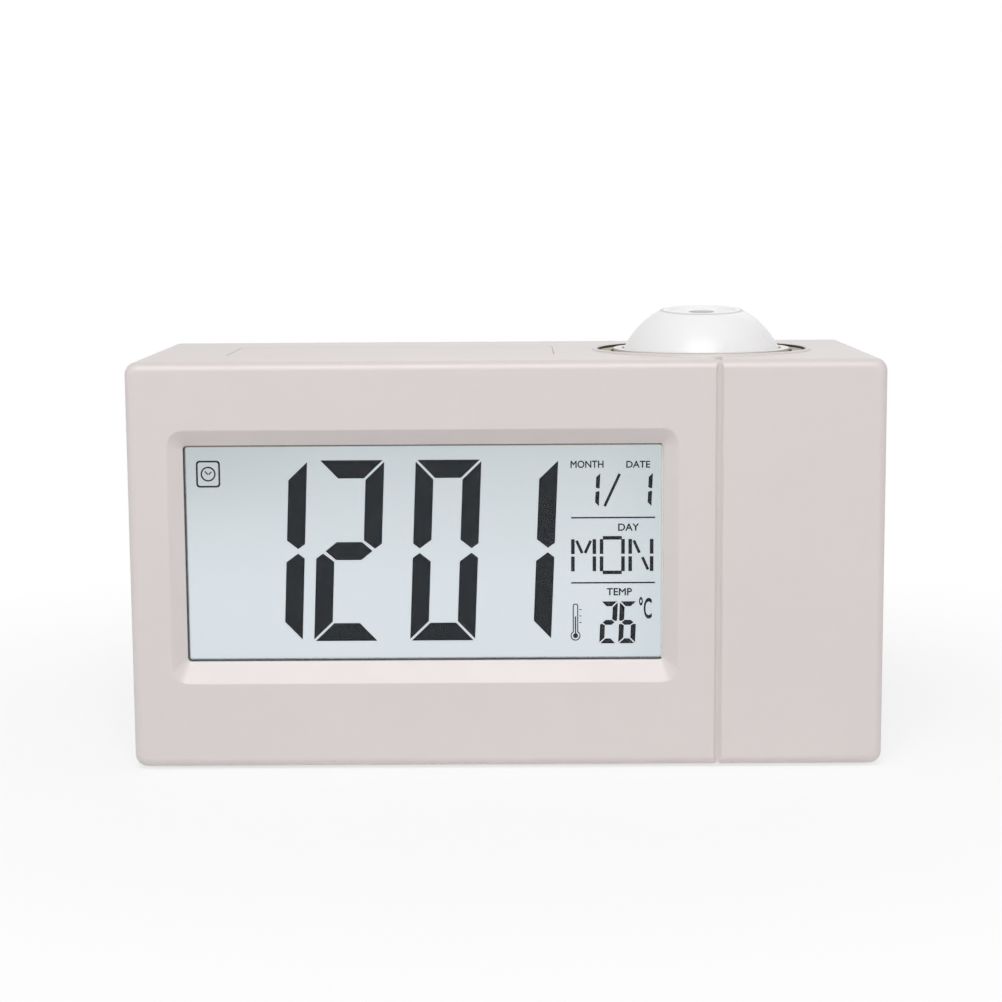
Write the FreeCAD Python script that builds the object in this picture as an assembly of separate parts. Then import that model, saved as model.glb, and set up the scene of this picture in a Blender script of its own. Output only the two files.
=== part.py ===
import FreeCAD, Part
import math
import os

os.makedirs("parts", exist_ok=True)

# Projection alarm clock, in millimetres. X runs along the width, Y from the display (low) to the
# back (high), Z up. The origin is at the middle of the base, where the feet stand.

# Case
case_width = 150.0
case_depth = 61.0
case_height = 81.5
wall = 2.0
front_wall = 3.1
corner_radius = 2.5
front_radius = 2.0
rear_radius = 1.3
back_cover_depth = 7.5
groove_inset = 33.0
groove_width = 0.9
groove_depth = 0.7
groove_depth_around = 0.45
groove_flare = 0.4
vent_spread = 22.0
vent_half_length = 7.0
vent_half_width = 0.6
vent_pitch = 3.5

# Feet
foot_radius = 4.5
foot_stand = 0.5
foot_sink = 1.0
foot_inset_x = 13.0
foot_inset_y = 11.0

# Display window
window_height = 43.6
window_bottom = 21.2
window_inset_left = 10.9
window_inset_right = 10.8
window_depth = 2.5
window_corner = 0.8
bevel_side = 2.8
bevel_top = 3.2
bevel_bottom = 4.1
bevel_corner = 3.2
bevel_round = 0.6

# Display layers, from the front
lens_thickness = 1.0
lens_margin = 2.2
film_thickness = 0.2
glass_thickness = 0.8
segment_thickness = 0.05
guide_thickness = 2.0
foil_thickness = 0.1
glass_margin = 1.5
glass_ledge = 2.4
frame_wall = 1.2
frame_back = 1.2
frame_gap = 0.15
strip_width = 1.5

# Characters of the display, with places as shares of the window from its left and its lower edge
digit_slant = 2.4
digit_width_share = 0.13746
digit_height_share = 0.8406
digit_middle_share = 0.5023
digit_stroke_share = 0.0383
digit_gap_share = 0.0047
hour_tens_share = 0.1794
hour_ones_share = 0.3410
minute_tens_share = 0.5441
minute_ones_share = 0.7046
column_left_share = 0.8080
column_right_share = 0.9843
rule_share = 0.0069
upper_rule_share = 0.6514
lower_rule_share = 0.3486

# Projector head
head_inset = 34.2
head_forward = 0.5
head_drop = 7.6
ball_radius = 18.0
ball_wall = 1.6
facet_height = 15.93
facet_round = 0.5
facet_plate = 2.6
dish_radius = 7.2
dish_wall = 0.45
dish_depth = 0.45
lens_radius = 2.5
lens_height = 0.9
lens_dome = 0.5
head_rest_tilt = 3.3
pivot_radius = 2.5
pivot_reach = 22.0
pivot_wire_radius = 1.2
side_flat = 0.4
bearing_gap = 0.05
ball_gap = 0.4
barrel_wall = 1.4
guide_low = 6.4
slide_low = -0.6
slide_high = 0.8
slide_width = 9.2
condenser_low = -3.8
lamp_board_top = -7.0
lamp_post_x = 10.0
lamp_post_radius = 1.9
lamp_board_edge = 2.0
lamp_board_half_depth = 6.0
lamp_flange_radius = 2.9
lamp_flange_height = 0.8
lamp_dome_radius = 1.8
lamp_housing_radius = 8.0
lead_radius = 0.35
washer_radius = 3.6
washer_thickness = 0.9

# Recess round the head
recess_radius = 21.65
recess_ring_gap = 0.4
bead_width = 1.2
bead_height = 0.45
ledge_drop = 0.15
ledge_dip = 0.3
ledge_inner_radius = 18.9
collar_radius = 18.3
collar_height = 0.4
collar_slot_depth = 2.2
cradle_wall = 1.5
ring_flange_radius = 23.4
ring_flange = 1.6
ear_radius = 2.6
ear_reach = 22.4
ear_height = 2.0
bearing_block = 4.0
bearing_reach = 23.4

# Snooze bar
snooze_inset_left = 18.0
snooze_clear_head = 31.0
snooze_depth = 30.0
snooze_forward = 1.0
snooze_gap = 0.15
snooze_edge = 0.2
snooze_corner = 4.0
snooze_flange = 1.5
part_gap = 0.3

# Rear buttons
button_count = 6
button_pitch = 13.0
button_radius = 3.5
button_flange = 0.9
button_dish_radius = 14.0
button_dish_depth = 0.25
button_inset = 21.5
button_row_height = 57.5
button_sink = 0.4
panel_depth = 1.6
panel_wall = 2.0
panel_margin = 6.4
panel_corner = 5.0
stem_radius = 1.7
stem_gap = 0.08
switch_size = 6.0
switch_height = 3.4

# Boards
board_thickness = 1.6
main_board_clear_head = 29.0
main_board_drop = 11.5
board_spacer = 1.2
header_height = 5.0
header_half_width = 3.5
header_half_height = 2.2
header_below_screw = 6.1
flat_cable_half_width = 4.5
flat_cable_half_thickness = 0.3
lead_half_pitch = 1.2
key_board_height = 14.0
key_board_margin = 8.6

# Battery bay
cell_radius = 5.25
cell_length = 44.5
cell_nub = 1.0
cell_nub_radius = 1.9
cell_pitch = 11.4
cell_count = 3
bay_inset = 14.0
bay_slack = 6.7
bay_height_above_base = 7.5
bay_edge = 0.2
tray_wall = 1.5
door_thickness = 1.6
door_gap = 0.3
door_clear = 0.5
tab_width = 7.0
tab_drop = 1.6
tab_thickness = 1.2
tab_gap = 0.4
tab_inset = 12.0
contact_thickness = 0.4
contact_height = 8.4
spring_wire = 0.4
spring_base_radius = 3.6
spring_end_radius = 2.2
spring_turns = 3.5
wire_radius = 0.65
tail_reach = 1.5
wire_start = 3.0
sensor_inset = 12.0

# Power socket, projector switch and buzzer
socket_inset = 18.0
socket_height = 14.5
socket_width = 9.0
socket_bore = 3.15
socket_depth = 9.0
socket_pin = 0.65
socket_opening = 4.2
socket_length = 14.0
slider_inset = 18.0
slider_height_above_base = 37.5
slider_travel = 4.0
slider_neck = 4.0
slider_height = 2.8
slider_pocket = 1.4
slider_body_height = 5.0
slider_flange = 2.4
buzzer_inset = 59.0
buzzer_height_above_base = 26.5
buzzer_radius = 7.0
buzzer_height = 8.5
sound_hole_radius = 0.8
sound_hole_ring = 3.2
sound_hole_count = 6

# Screws
case_screw_radius = 1.3
case_screw_length = 13.0
case_screw_head = 2.6
case_screw_head_height = 1.8
case_screw_depth = 5.0
boss_radius = 3.5
boss_inset_x = 6.5
boss_inset_z = 6.0
small_screw_radius = 0.9
small_screw_head = 1.7
small_screw_head_height = 1.1
small_boss_radius = 2.3

# Levels worked out from the sizes above
half_width = case_width / 2
front_y = -case_depth / 2
back_y = case_depth / 2
bottom_z = foot_stand
top_z = foot_stand + case_height
seam_y = back_y - back_cover_depth
front_inner = front_y + front_wall
back_inner = back_y - wall
roof_z = top_z - wall
floor_z = bottom_z + wall
groove_x = half_width - groove_inset
head_x = half_width - head_inset
head_y = -head_forward
window_left = window_inset_left - half_width
window_right = groove_x - window_inset_right
window_x = (window_left + window_right) / 2
window_width = window_right - window_left
window_low = bottom_z + window_bottom
window_high = window_low + window_height
lens_back = front_inner + lens_thickness
glass_front = lens_back + film_thickness
segment_front = glass_front + glass_thickness
segment_back = segment_front + segment_thickness
rear_glass_back = segment_back + glass_thickness
guide_front = rear_glass_back + film_thickness
guide_back = guide_front + guide_thickness
foil_back = guide_back + foil_thickness
frame_back_y = foil_back + frame_back
main_board_y = frame_back_y + board_spacer
main_board_back = main_board_y + board_thickness
glass_left = window_left - glass_margin
glass_right = window_right + glass_margin
glass_high = window_high + glass_margin
rear_glass_low = window_low - glass_margin
glass_low = rear_glass_low - glass_ledge
frame_left = glass_left - frame_gap - frame_wall
frame_right = glass_right + frame_gap + frame_wall
frame_high = glass_high + frame_gap + frame_wall
frame_low = glass_low - frame_gap - frame_wall
frame_ear_z = (window_low + window_height * 0.16, window_low + window_height * 0.84)
frame_ear_x = (frame_left - small_boss_radius, frame_right + small_boss_radius)
head_z = top_z - head_drop
snooze_left = snooze_inset_left - half_width
snooze_right = head_x - snooze_clear_head
snooze_stem_x = (snooze_left + snooze_right) / 2
snooze_front = -snooze_forward - snooze_depth / 2
snooze_back = -snooze_forward + snooze_depth / 2
main_board_left = window_left + 0.1
main_board_right = head_x - main_board_clear_head
main_board_top = top_z - main_board_drop
button_first_x = button_inset - half_width
button_row_x = button_first_x + (button_count - 1) * button_pitch / 2
button_row_z = bottom_z + button_row_height
socket_x = half_width - socket_inset
socket_z = bottom_z + socket_height
slider_x = half_width - slider_inset
slider_z = bottom_z + slider_height_above_base
buzzer_x = half_width - buzzer_inset
buzzer_z = bottom_z + buzzer_height_above_base
barrel_radius = lens_radius + barrel_wall
lamp_board_low = lamp_board_top - board_thickness
bowl_radius = ball_radius + ball_gap
cradle_radius = bowl_radius + cradle_wall
panel_floor = back_y - panel_depth
panel_inner = panel_floor - panel_wall
button_face = back_y - button_sink
button_shoulder = panel_inner - 0.1
button_foot = button_shoulder - 1.0
switch_rear = button_foot - 1.3
switch_front = switch_rear - switch_height
key_board_y = switch_front - board_thickness
button_stem_end = switch_rear - 2.1
bay_width = cell_length + 2 * contact_thickness + bay_slack
bay_left = bay_inset - half_width
bay_right = bay_left + bay_width
bay_bottom = bottom_z + bay_height_above_base
bay_height = cell_count * cell_pitch + 2 * bay_edge
bay_top = bay_bottom + bay_height
door_inner = back_y - door_thickness
cell_y = door_inner - door_clear - cell_radius
tray_floor = cell_y - cell_radius - 0.15
slider_floor = back_y - slider_pocket
slider_inner = slider_floor - panel_wall
slider_foot = slider_inner - 1.2
slider_body_back = slider_foot - 1.3
socket_face = back_inner - 0.1
socket_back = socket_face - socket_length
case_screw_seat = back_y - case_screw_depth
boss_spots = [(sx * (half_width - boss_inset_x), z)
              for sx in (-1, 1) for z in (bottom_z + boss_inset_z, top_z - boss_inset_z)]


def vec(x, y, z):
    return FreeCAD.Vector(x, y, z)


def box(x0, x1, y0, y1, z0, z1):
    """Box between two corners."""
    return Part.makeBox(x1 - x0, y1 - y0, z1 - z0, vec(x0, y0, z0))


def rod(radius, start, end):
    """Cylinder from one point to another."""
    run = vec(*end) - vec(*start)
    return Part.makeCylinder(radius, run.Length, vec(*start), run)


def fuse(shapes):
    """One solid from shapes that touch or overlap."""
    joined = shapes[0]
    for shape in shapes[1:]:
        joined = joined.fuse(shape)
    return joined.removeSplitter()


def cut(shape, tools):
    """The shape less every tool."""
    for tool in tools:
        shape = shape.cut(tool)
    return shape


def group(shapes):
    """Separate solids kept together in one node."""
    return Part.makeCompound(shapes)


def round_edges(shape, radius, chosen):
    """Fillet the edges whose end points all pass the test."""
    edges = [e for e in shape.Edges if chosen(e)]
    return shape.makeFillet(radius, edges)


def along(edge, axis):
    """True for a straight edge along one axis: 0, 1 or 2."""
    if len(edge.Vertexes) != 2:
        return False
    run = edge.Vertexes[1].Point - edge.Vertexes[0].Point
    return run.Length > 0 and abs(run[axis]) > 0.999 * run.Length


def at_level(edge, axis, level):
    """True when the whole edge lies at one level of an axis."""
    low = edge.BoundBox
    span = ((low.XMin, low.XMax), (low.YMin, low.YMax), (low.ZMin, low.ZMax))[axis]
    return abs(span[0] - level) < 1e-3 and abs(span[1] - level) < 1e-3


def rounded_rect(x0, x1, z0, z1, radius, y):
    """Closed wire of a rectangle with round corners, in a plane of constant Y."""
    slack = radius * (1 - math.sqrt(0.5))
    p = [vec(x0 + radius, y, z0), vec(x1 - radius, y, z0), vec(x1 - slack, y, z0 + slack),
         vec(x1, y, z0 + radius), vec(x1, y, z1 - radius), vec(x1 - slack, y, z1 - slack),
         vec(x1 - radius, y, z1), vec(x0 + radius, y, z1), vec(x0 + slack, y, z1 - slack),
         vec(x0, y, z1 - radius), vec(x0, y, z0 + radius), vec(x0 + slack, y, z0 + slack)]
    edges = []
    for i in range(4):
        a, b, c, d = p[3 * i], p[3 * i + 1], p[3 * i + 2], p[(3 * i + 3) % 12]
        edges.append(Part.LineSegment(a, b).toShape())
        edges.append(Part.Arc(b, c, d).toShape())
    return Part.Wire(edges)


def rounded_plate(x0, x1, y0, y1, z0, z1, radius):
    """Plate with round corners, thick along Y."""
    face = Part.Face(rounded_rect(x0, x1, z0, z1, radius, y0))
    return face.extrude(vec(0, y1 - y0, 0))


def flat_plate(x0, x1, y0, y1, z0, z1, radius):
    """Plate with round corners, thick along Z."""
    solid = box(x0, x1, y0, y1, z0, z1)
    return round_edges(solid, radius, lambda e: along(e, 2))


def polygon_plate(points, y0, y1):
    """Plate with straight edges from points in X and Z."""
    corners = [vec(x, y0, z) for x, z in points]
    return Part.Face(Part.makePolygon(corners + corners[:1])).extrude(vec(0, y1 - y0, 0))


def wire_run(points, radius):
    """Round wire through a few points, with ball joints at its bends."""
    pieces = [rod(radius, a, b) for a, b in zip(points, points[1:])]
    pieces += [Part.makeSphere(radius, vec(*p)) for p in points[1:-1]]
    return fuse(pieces)


def screw(radius, length, head, head_height, seat, direction):
    """Pan-head screw: its head's underside is at the seat and its shank runs along the direction."""
    seat, direction = vec(*seat), vec(*direction)
    shank = Part.makeCylinder(radius, length, seat, direction)
    cap = Part.makeCylinder(head, head_height, seat, direction * -1)
    far = seat - direction * head_height
    body = shank.fuse(cap)
    rim = [e for e in body.Edges if (e.CenterOfMass - far).Length < 1e-3]
    body = body.makeFillet(head_height * 0.35, rim)
    spin = FreeCAD.Rotation(vec(0, 0, 1), direction)
    for turn in (0, 90):
        slot = Part.makeBox(head * 1.2, head * 0.25, head_height * 0.6, vec(-head * 0.6, -head * 0.125, 0))
        slot.rotate(vec(0, 0, 0), vec(0, 0, 1), turn)
        slot.Placement = FreeCAD.Placement(far, spin).multiply(slot.Placement)
        body = body.cut(slot)
    return body


def small_screw(seat, direction, length):
    return screw(small_screw_radius, length, small_screw_head, small_screw_head_height, seat, direction)


# Case

def outer_body():
    """The whole case as one rounded block."""
    body = box(-half_width, half_width, front_y, back_y, bottom_z, top_z)
    body = round_edges(body, corner_radius, lambda e: along(e, 1))
    body = round_edges(body, front_radius, lambda e: at_level(e, 1, front_y))
    return round_edges(body, rear_radius, lambda e: at_level(e, 1, back_y))


def case_cavity():
    """The room inside the case."""
    room = box(-half_width + wall, half_width - wall, front_inner, back_inner, floor_z, roof_z)
    return round_edges(room, corner_radius - wall, lambda e: along(e, 1))


def groove_cutter():
    """Groove with flared edges that runs round the case between the two blocks."""
    half = groove_width / 2
    mouth = half + groove_flare

    def section(at, inward, depth):
        profile = [(-mouth, -1.0), (-mouth, 0.0), (-half, groove_flare), (-half, depth),
                   (half, depth), (half, groove_flare), (mouth, 0.0), (mouth, -1.0)]
        corners = [at + vec(groove_x + u, 0, 0) + inward * v for u, v in profile]
        return Part.Face(Part.makePolygon(corners + corners[:1]))

    front = section(vec(0, front_y, bottom_z - 1), vec(0, 1, 0), groove_depth)
    back = section(vec(0, back_y, bottom_z - 1), vec(0, -1, 0), groove_depth_around)
    top = section(vec(0, -case_depth, top_z), vec(0, 0, -1), groove_depth_around)
    bottom = section(vec(0, -case_depth, bottom_z), vec(0, 0, 1), groove_depth_around)
    rise, run = vec(0, 0, case_height + 2), vec(0, 2 * case_depth, 0)
    return [front.extrude(rise), back.extrude(rise), top.extrude(run), bottom.extrude(run)]


def window_cutter():
    """Bevelled recess and the straight opening behind it."""
    outer = rounded_rect(window_left - bevel_side, window_right + bevel_side, window_low - bevel_bottom,
                         window_high + bevel_top, bevel_corner, front_y)
    inner = rounded_rect(window_left, window_right, window_low, window_high, window_corner,
                         front_y + window_depth)
    bevel = Part.makeLoft([outer, inner], True, True)
    opening = rounded_plate(window_left, window_right, front_y, front_inner + 1, window_low, window_high,
                            window_corner)
    return [bevel, opening]


def foot_spots():
    return [(sx * (half_width - foot_inset_x), y)
            for sx in (-1, 1) for y in (front_y + foot_inset_y, seam_y - foot_inset_y)]


def snooze_box(grow):
    """Outline of the snooze bar's opening, grown on each side."""
    return snooze_left - grow, snooze_right + grow, snooze_front - grow, snooze_back + grow


def recess_bead():
    """Raised round bead on the roof, along the edge of the head's opening."""
    middle = recess_radius + bead_width / 2
    low, crown = top_z - wall / 2, top_z + bead_height
    corners = [vec(head_x + recess_radius, head_y, low), vec(head_x + recess_radius, head_y, top_z),
               vec(head_x + recess_radius + bead_width, head_y, top_z),
               vec(head_x + recess_radius + bead_width, head_y, low)]
    edges = [Part.LineSegment(corners[0], corners[1]).toShape(),
             Part.Arc(corners[1], vec(head_x + middle, head_y, crown), corners[2]).toShape(),
             Part.LineSegment(corners[2], corners[3]).toShape(),
             Part.LineSegment(corners[3], corners[0]).toShape()]
    return Part.Face(Part.Wire(edges)).revolve(vec(head_x, head_y, 0), vec(0, 0, 1), 360)


def housing():
    """Front shell with the window, the head's round recess and the snooze bar's opening."""
    body = outer_body().common(box(-case_width, case_width, -case_depth, seam_y, -1, 2 * case_height))
    body = body.cut(case_cavity())
    body = cut(body, window_cutter())
    edge = window_width + 2 * bevel_side
    body = round_edges(body, bevel_round, lambda e: at_level(e, 1, front_y)
                       and abs(e.CenterOfMass.x - window_x) < edge / 2 + 0.1
                       and window_low - bevel_bottom - 0.1 < e.CenterOfMass.z < window_high + bevel_top + 0.1
                       and e.BoundBox.XMax < window_right + bevel_side + 0.1
                       and e.BoundBox.XMin > window_left - bevel_side - 0.1)
    body = body.cut(rod(recess_radius, (head_x, head_y, roof_z - 1), (head_x, head_y, top_z + 1)))
    opening = flat_plate(*snooze_box(snooze_gap), roof_z - 1, top_z + 1, snooze_corner + snooze_gap)
    body = body.cut(opening)
    bosses = []
    for x, z in boss_spots:
        side = math.copysign(half_width - wall / 2, x)
        bosses.append(rod(boss_radius, (x, front_inner, z), (x, seam_y, z)))
        bosses.append(box(min(x, side), max(x, side), front_inner, seam_y, z - 0.6, z + 0.6))
    for x in frame_ear_x:
        for z in frame_ear_z:
            bosses.append(rod(small_boss_radius, (x, front_inner, z), (x, foil_back, z)))
    body = fuse([body] + bosses)
    pilots = [rod(case_screw_radius, (x, seam_y - case_screw_length, z), (x, seam_y + 1, z))
              for x, z in boss_spots]
    pilots += [rod(small_screw_radius, (x, front_inner + 0.6, z), (x, foil_back + 1, z))
               for x in frame_ear_x for z in frame_ear_z]
    feet = [rod(foot_radius, (x, y, bottom_z - 1), (x, y, bottom_z + foot_sink)) for x, y in foot_spots()]
    middles = [(snooze_stem_x + (i + 0.5) * vent_spread, j * vent_pitch)
               for i in (-1, 0, 1) for j in (-1, 0, 1)]
    vents = [box(x - vent_half_length, x + vent_half_length, y - vent_half_width, y + vent_half_width,
                 bottom_z - 1, floor_z + 1) for x, y in middles]
    return fuse([cut(body, pilots + feet + vents + groove_cutter()), recess_bead()])


def button_spots():
    return [button_first_x + i * button_pitch for i in range(button_count)]


def key_board_bosses():
    spread = (button_count - 1) * button_pitch / 2 + key_board_margin - small_boss_radius
    rise = key_board_height / 2 - small_boss_radius
    return [(button_row_x + sx * spread, button_row_z + sz * rise) for sx in (-1, 1) for sz in (-1, 1)]


def battery_tray():
    """Block on the back cover that the battery bay is cut into."""
    return box(bay_left - tray_wall, bay_right + tray_wall, tray_floor - tray_wall, back_inner + 0.5,
               bay_bottom - tray_wall, bay_top + tray_wall)


def battery_room():
    return box(bay_left, bay_right, tray_floor, back_y + 1, bay_bottom, bay_top)


def tab_spots():
    return (bay_left + tab_inset, bay_right - tab_inset)


def contact_slots():
    """Slots in the tray's floor where two contact tails come through."""
    slots = []
    for x, row in ((bay_left, 0), (bay_right - contact_thickness, cell_count - 1)):
        z = cell_height(row)
        slots.append(box(x, x + contact_thickness, tray_floor - tray_wall - 1, tray_floor + 1,
                         z - 1.0, z + 1.0))
    return slots


def cell_height(row):
    return bay_bottom + bay_edge + cell_pitch * (row + 0.5)


def slider_window(grow):
    """Outline of the slot that the switch knob slides in."""
    return (slider_x - slider_neck / 2 - grow, slider_x + slider_neck / 2 + slider_travel + grow,
            slider_z - slider_height / 2 - grow, slider_z + slider_height / 2 + grow)


def sound_holes():
    spots = [(buzzer_x, buzzer_z)]
    for i in range(sound_hole_count):
        turn = 2 * math.pi * i / sound_hole_count
        spots.append((buzzer_x + sound_hole_ring * math.cos(turn),
                      buzzer_z + sound_hole_ring * math.sin(turn)))
    return [rod(sound_hole_radius, (x, back_inner - 1, z), (x, back_y + 1, z)) for x, z in spots]


def back_cover():
    """Rear shell with the control panel, the battery bay and the sockets."""
    shell = outer_body().common(box(-case_width, case_width, seam_y, case_depth, -1, 2 * case_height))
    shell = shell.cut(case_cavity())
    first, last = button_spots()[0], button_spots()[-1]
    panel = (first - panel_margin, last + panel_margin,
             button_row_z - panel_margin - 1, button_row_z + panel_margin + 1)
    pad = box(panel[0] - wall, panel[1] + wall, panel_inner, back_inner + 0.5,
              panel[2] - wall, panel[3] + wall)
    slot = slider_window(part_gap)
    rim = 2.4
    slider_pad = box(slot[0] - rim - wall, slot[1] + rim + wall, slider_inner, back_inner + 0.5,
                     slot[2] - rim - wall, slot[3] + rim + wall)
    parts = [shell, battery_tray(), pad, slider_pad]
    for x, z in boss_spots:
        parts.append(rod(boss_radius + 0.8, (x, seam_y, z), (x, back_inner + 0.5, z)))
    for x, z in key_board_bosses():
        parts.append(rod(small_boss_radius, (x, key_board_y + board_thickness, z), (x, panel_inner + 0.5, z)))
    parts.append(rod(buzzer_radius + 1.3, (buzzer_x, back_inner - 4, buzzer_z),
                     (buzzer_x, back_inner + 0.5, buzzer_z)))
    parts += socket_ribs() + slider_posts()
    body = fuse(parts)
    tools = [battery_room()]
    tools.append(rounded_plate(panel[0], panel[1], panel_floor, back_y + 1, panel[2], panel[3], panel_corner))
    tools.append(rounded_plate(slot[0] - rim, slot[1] + rim, slider_floor, back_y + 1,
                               slot[2] - rim, slot[3] + rim, 1.5))
    tools.append(rounded_plate(slot[0], slot[1], slider_inner - 1, back_y + 1, slot[2], slot[3], 0.5))
    for x in button_spots():
        tools.append(rod(button_radius + part_gap, (x, panel_inner - 1, button_row_z),
                         (x, back_y + 1, button_row_z)))
    for x, z in boss_spots:
        tools.append(rod(case_screw_head + part_gap, (x, case_screw_seat, z), (x, back_y + 1, z)))
        tools.append(rod(case_screw_radius + 0.15, (x, seam_y - 1, z), (x, back_y, z)))
    for x, z in key_board_bosses():
        tools.append(rod(small_screw_radius, (x, key_board_y, z), (x, panel_inner - 0.5, z)))
    for x in tab_spots():
        half = tab_width / 2 + 0.4
        tools.append(box(x - half, x + half, back_inner - tab_gap - tab_thickness - 1.0, back_inner,
                         bay_bottom - tray_wall - 0.5, bay_bottom + 1))
    tools.append(rod(buzzer_radius + 0.1, (buzzer_x, back_inner - 5, buzzer_z),
                     (buzzer_x, back_inner, buzzer_z)))
    tools.append(rod(socket_bore + 0.9, (socket_x, back_inner - 0.5, socket_z),
                     (socket_x, back_y + 1, socket_z)))
    tools += sound_holes() + contact_slots() + groove_cutter()
    scoop = rod(9.0, (bay_left + bay_width / 2 - 6, back_y + 7.6, bay_top + 0.5),
                (bay_left + bay_width / 2 + 6, back_y + 7.6, bay_top + 0.5))
    tools.append(scoop)
    body = cut(body, tools)
    return fuse([body] + cell_ribs() + door_ledges())


def cell_ribs():
    """Low ribs on the tray's floor that part the cells."""
    ribs = []
    for row in range(1, cell_count):
        z = bay_bottom + bay_edge + cell_pitch * row
        ribs.append(box(bay_left + 8, bay_right - 8, tray_floor, tray_floor + 2.2, z - 0.5, z + 0.5))
    return ribs


def door_ledges():
    """Corner ledges that the battery door rests on."""
    ledges = []
    for x0, x1 in ((bay_left, bay_left + 3), (bay_right - 3, bay_right)):
        ledges.append(box(x0, x1, door_inner - 1.3, door_inner, bay_top - 1.5, bay_top))
    return ledges


def socket_ribs():
    """Two ribs on the back cover that hold the power socket."""
    half = socket_width / 2
    return [box(socket_x + s * half - (1.2 if s < 0 else 0), socket_x + s * half + (0 if s < 0 else 1.2),
                socket_face - 8, back_inner + 0.5, socket_z - 5, socket_z + 5) for s in (-1, 1)]


def slider_posts():
    """Two posts on the back cover that hold the switch's body."""
    low, high = slider_track_ends()
    posts = []
    for x0, x1 in ((low - 1.8, low), (high, high + 1.8)):
        posts.append(box(x0, x1, slider_body_back - slider_body_height, slider_inner + 0.5,
                         slider_z - 2.5, slider_z + 2.5))
    return posts


def slider_track_ends():
    """Inner faces of the posts, clear of the knob's flange over its whole travel."""
    reach = slider_neck / 2 + slider_flange + part_gap
    return slider_x - reach, slider_x + slider_travel + reach


def case_screws():
    return group([screw(case_screw_radius, case_screw_length, case_screw_head, case_screw_head_height,
                        (x, case_screw_seat, z), (0, -1, 0)) for x, z in boss_spots])


def rubber_feet():
    feet = []
    for x, y in foot_spots():
        foot = rod(foot_radius, (x, y, 0), (x, y, foot_stand + foot_sink))
        feet.append(round_edges(foot, foot_stand * 0.5, lambda e: at_level(e, 2, 0)))
    return group(feet)


# Display

def window_lens():
    return rounded_plate(window_left - lens_margin, window_right + lens_margin, front_inner, lens_back,
                         window_low - lens_margin, window_high + lens_margin, 1.0)


def display_layer(y0, y1, low, margin=0.0):
    """One rectangular layer of the display."""
    return box(glass_left + margin, glass_right - margin, y0, y1, low + margin, glass_high - margin)


def lcd_front_polariser():
    return display_layer(lens_back, glass_front, rear_glass_low, 0.3)


def lcd_front_glass():
    return display_layer(glass_front, segment_front, glass_low)


def lcd_rear_glass():
    return display_layer(segment_back, rear_glass_back, rear_glass_low)


def lcd_rear_polariser():
    return display_layer(rear_glass_back, guide_front, rear_glass_low, 0.3)


def light_guide():
    return display_layer(guide_front, guide_back, rear_glass_low)


def reflector_sheet():
    return display_layer(guide_back, foil_back, rear_glass_low)


def zebra_strip():
    middle = (glass_low + rear_glass_low) / 2
    return box(glass_left + 8, main_board_right - 2, segment_front, main_board_y,
               middle - strip_width / 2, middle + strip_width / 2)


def backlight_leds():
    """Side lamps at the right edge of the light guide, in pockets of the frame."""
    lamps = []
    for share in (0.2, 0.5, 0.8):
        z = window_low + window_height * share
        lamps.append(box(glass_right, glass_right + 0.8, guide_front + 0.2, guide_back - 0.2,
                         z - 1.5, z + 1.5))
    return group(lamps)


def lcd_frame():
    """Moulded frame behind the front wall that holds the display layers."""
    body = box(frame_left, frame_right, front_inner, frame_back_y, frame_low, frame_high)
    lens = box(window_left - lens_margin - 0.1, window_right + lens_margin + 0.1, front_inner - 1, lens_back,
               window_low - lens_margin - 0.1, window_high + lens_margin + 0.1)
    glass = box(glass_left - frame_gap, glass_right + frame_gap, lens_back - 0.1, segment_front + 0.1,
                glass_low - frame_gap, glass_high + frame_gap)
    rest = box(glass_left - frame_gap, glass_right + frame_gap, segment_front, foil_back,
               rear_glass_low - frame_gap, glass_high + frame_gap)
    middle = (glass_low + rear_glass_low) / 2
    strip = box(glass_left + 7.8, main_board_right - 1.8, segment_front - 1, frame_back_y + 1,
                middle - strip_width / 2 - 0.1, middle + strip_width / 2 + 0.1)
    relief = box(glass_left + 10, glass_right - 10, foil_back - 1, frame_back_y + 1,
                 window_low + 6, window_high - 6)
    lamps = [box(glass_right, glass_right + 0.9, guide_front + 0.1, guide_back - 0.1,
                 window_low + window_height * s - 1.6, window_low + window_height * s + 1.6)
             for s in (0.2, 0.5, 0.8)]
    ears = []
    for x in frame_ear_x:
        edge = frame_left if x < window_x else frame_right
        for z in frame_ear_z:
            ears.append(rod(small_boss_radius, (x, foil_back, z), (x, frame_back_y, z)))
            ears.append(box(min(x, edge), max(x, edge), foil_back, frame_back_y, z - 2, z + 2))
    spacers = [rod(small_boss_radius, (x, frame_back_y - 0.2, z), (x, main_board_y, z))
               for x, z in board_screw_spots()]
    body = fuse([body] + ears + spacers)
    holes = [rod(small_screw_radius + 0.1, (x, front_inner, z), (x, frame_back_y + 1, z))
             for x in frame_ear_x for z in frame_ear_z]
    holes += [rod(small_screw_radius, (x, foil_back + 0.05, z), (x, main_board_y + 1, z))
              for x, z in board_screw_spots()]
    return cut(body, [lens, glass, rest, strip, relief] + lamps + holes)


def board_screw_spots():
    low, high = frame_low + small_boss_radius + 3.4, frame_high - small_boss_radius - 0.4
    return [(x, z) for x in (main_board_left + 3, main_board_right - 3) for z in (low, high)]


def frame_screws():
    return group([small_screw((x, frame_back_y, z), (0, -1, 0), frame_back + 3.4)
                  for x in frame_ear_x for z in frame_ear_z])


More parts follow.
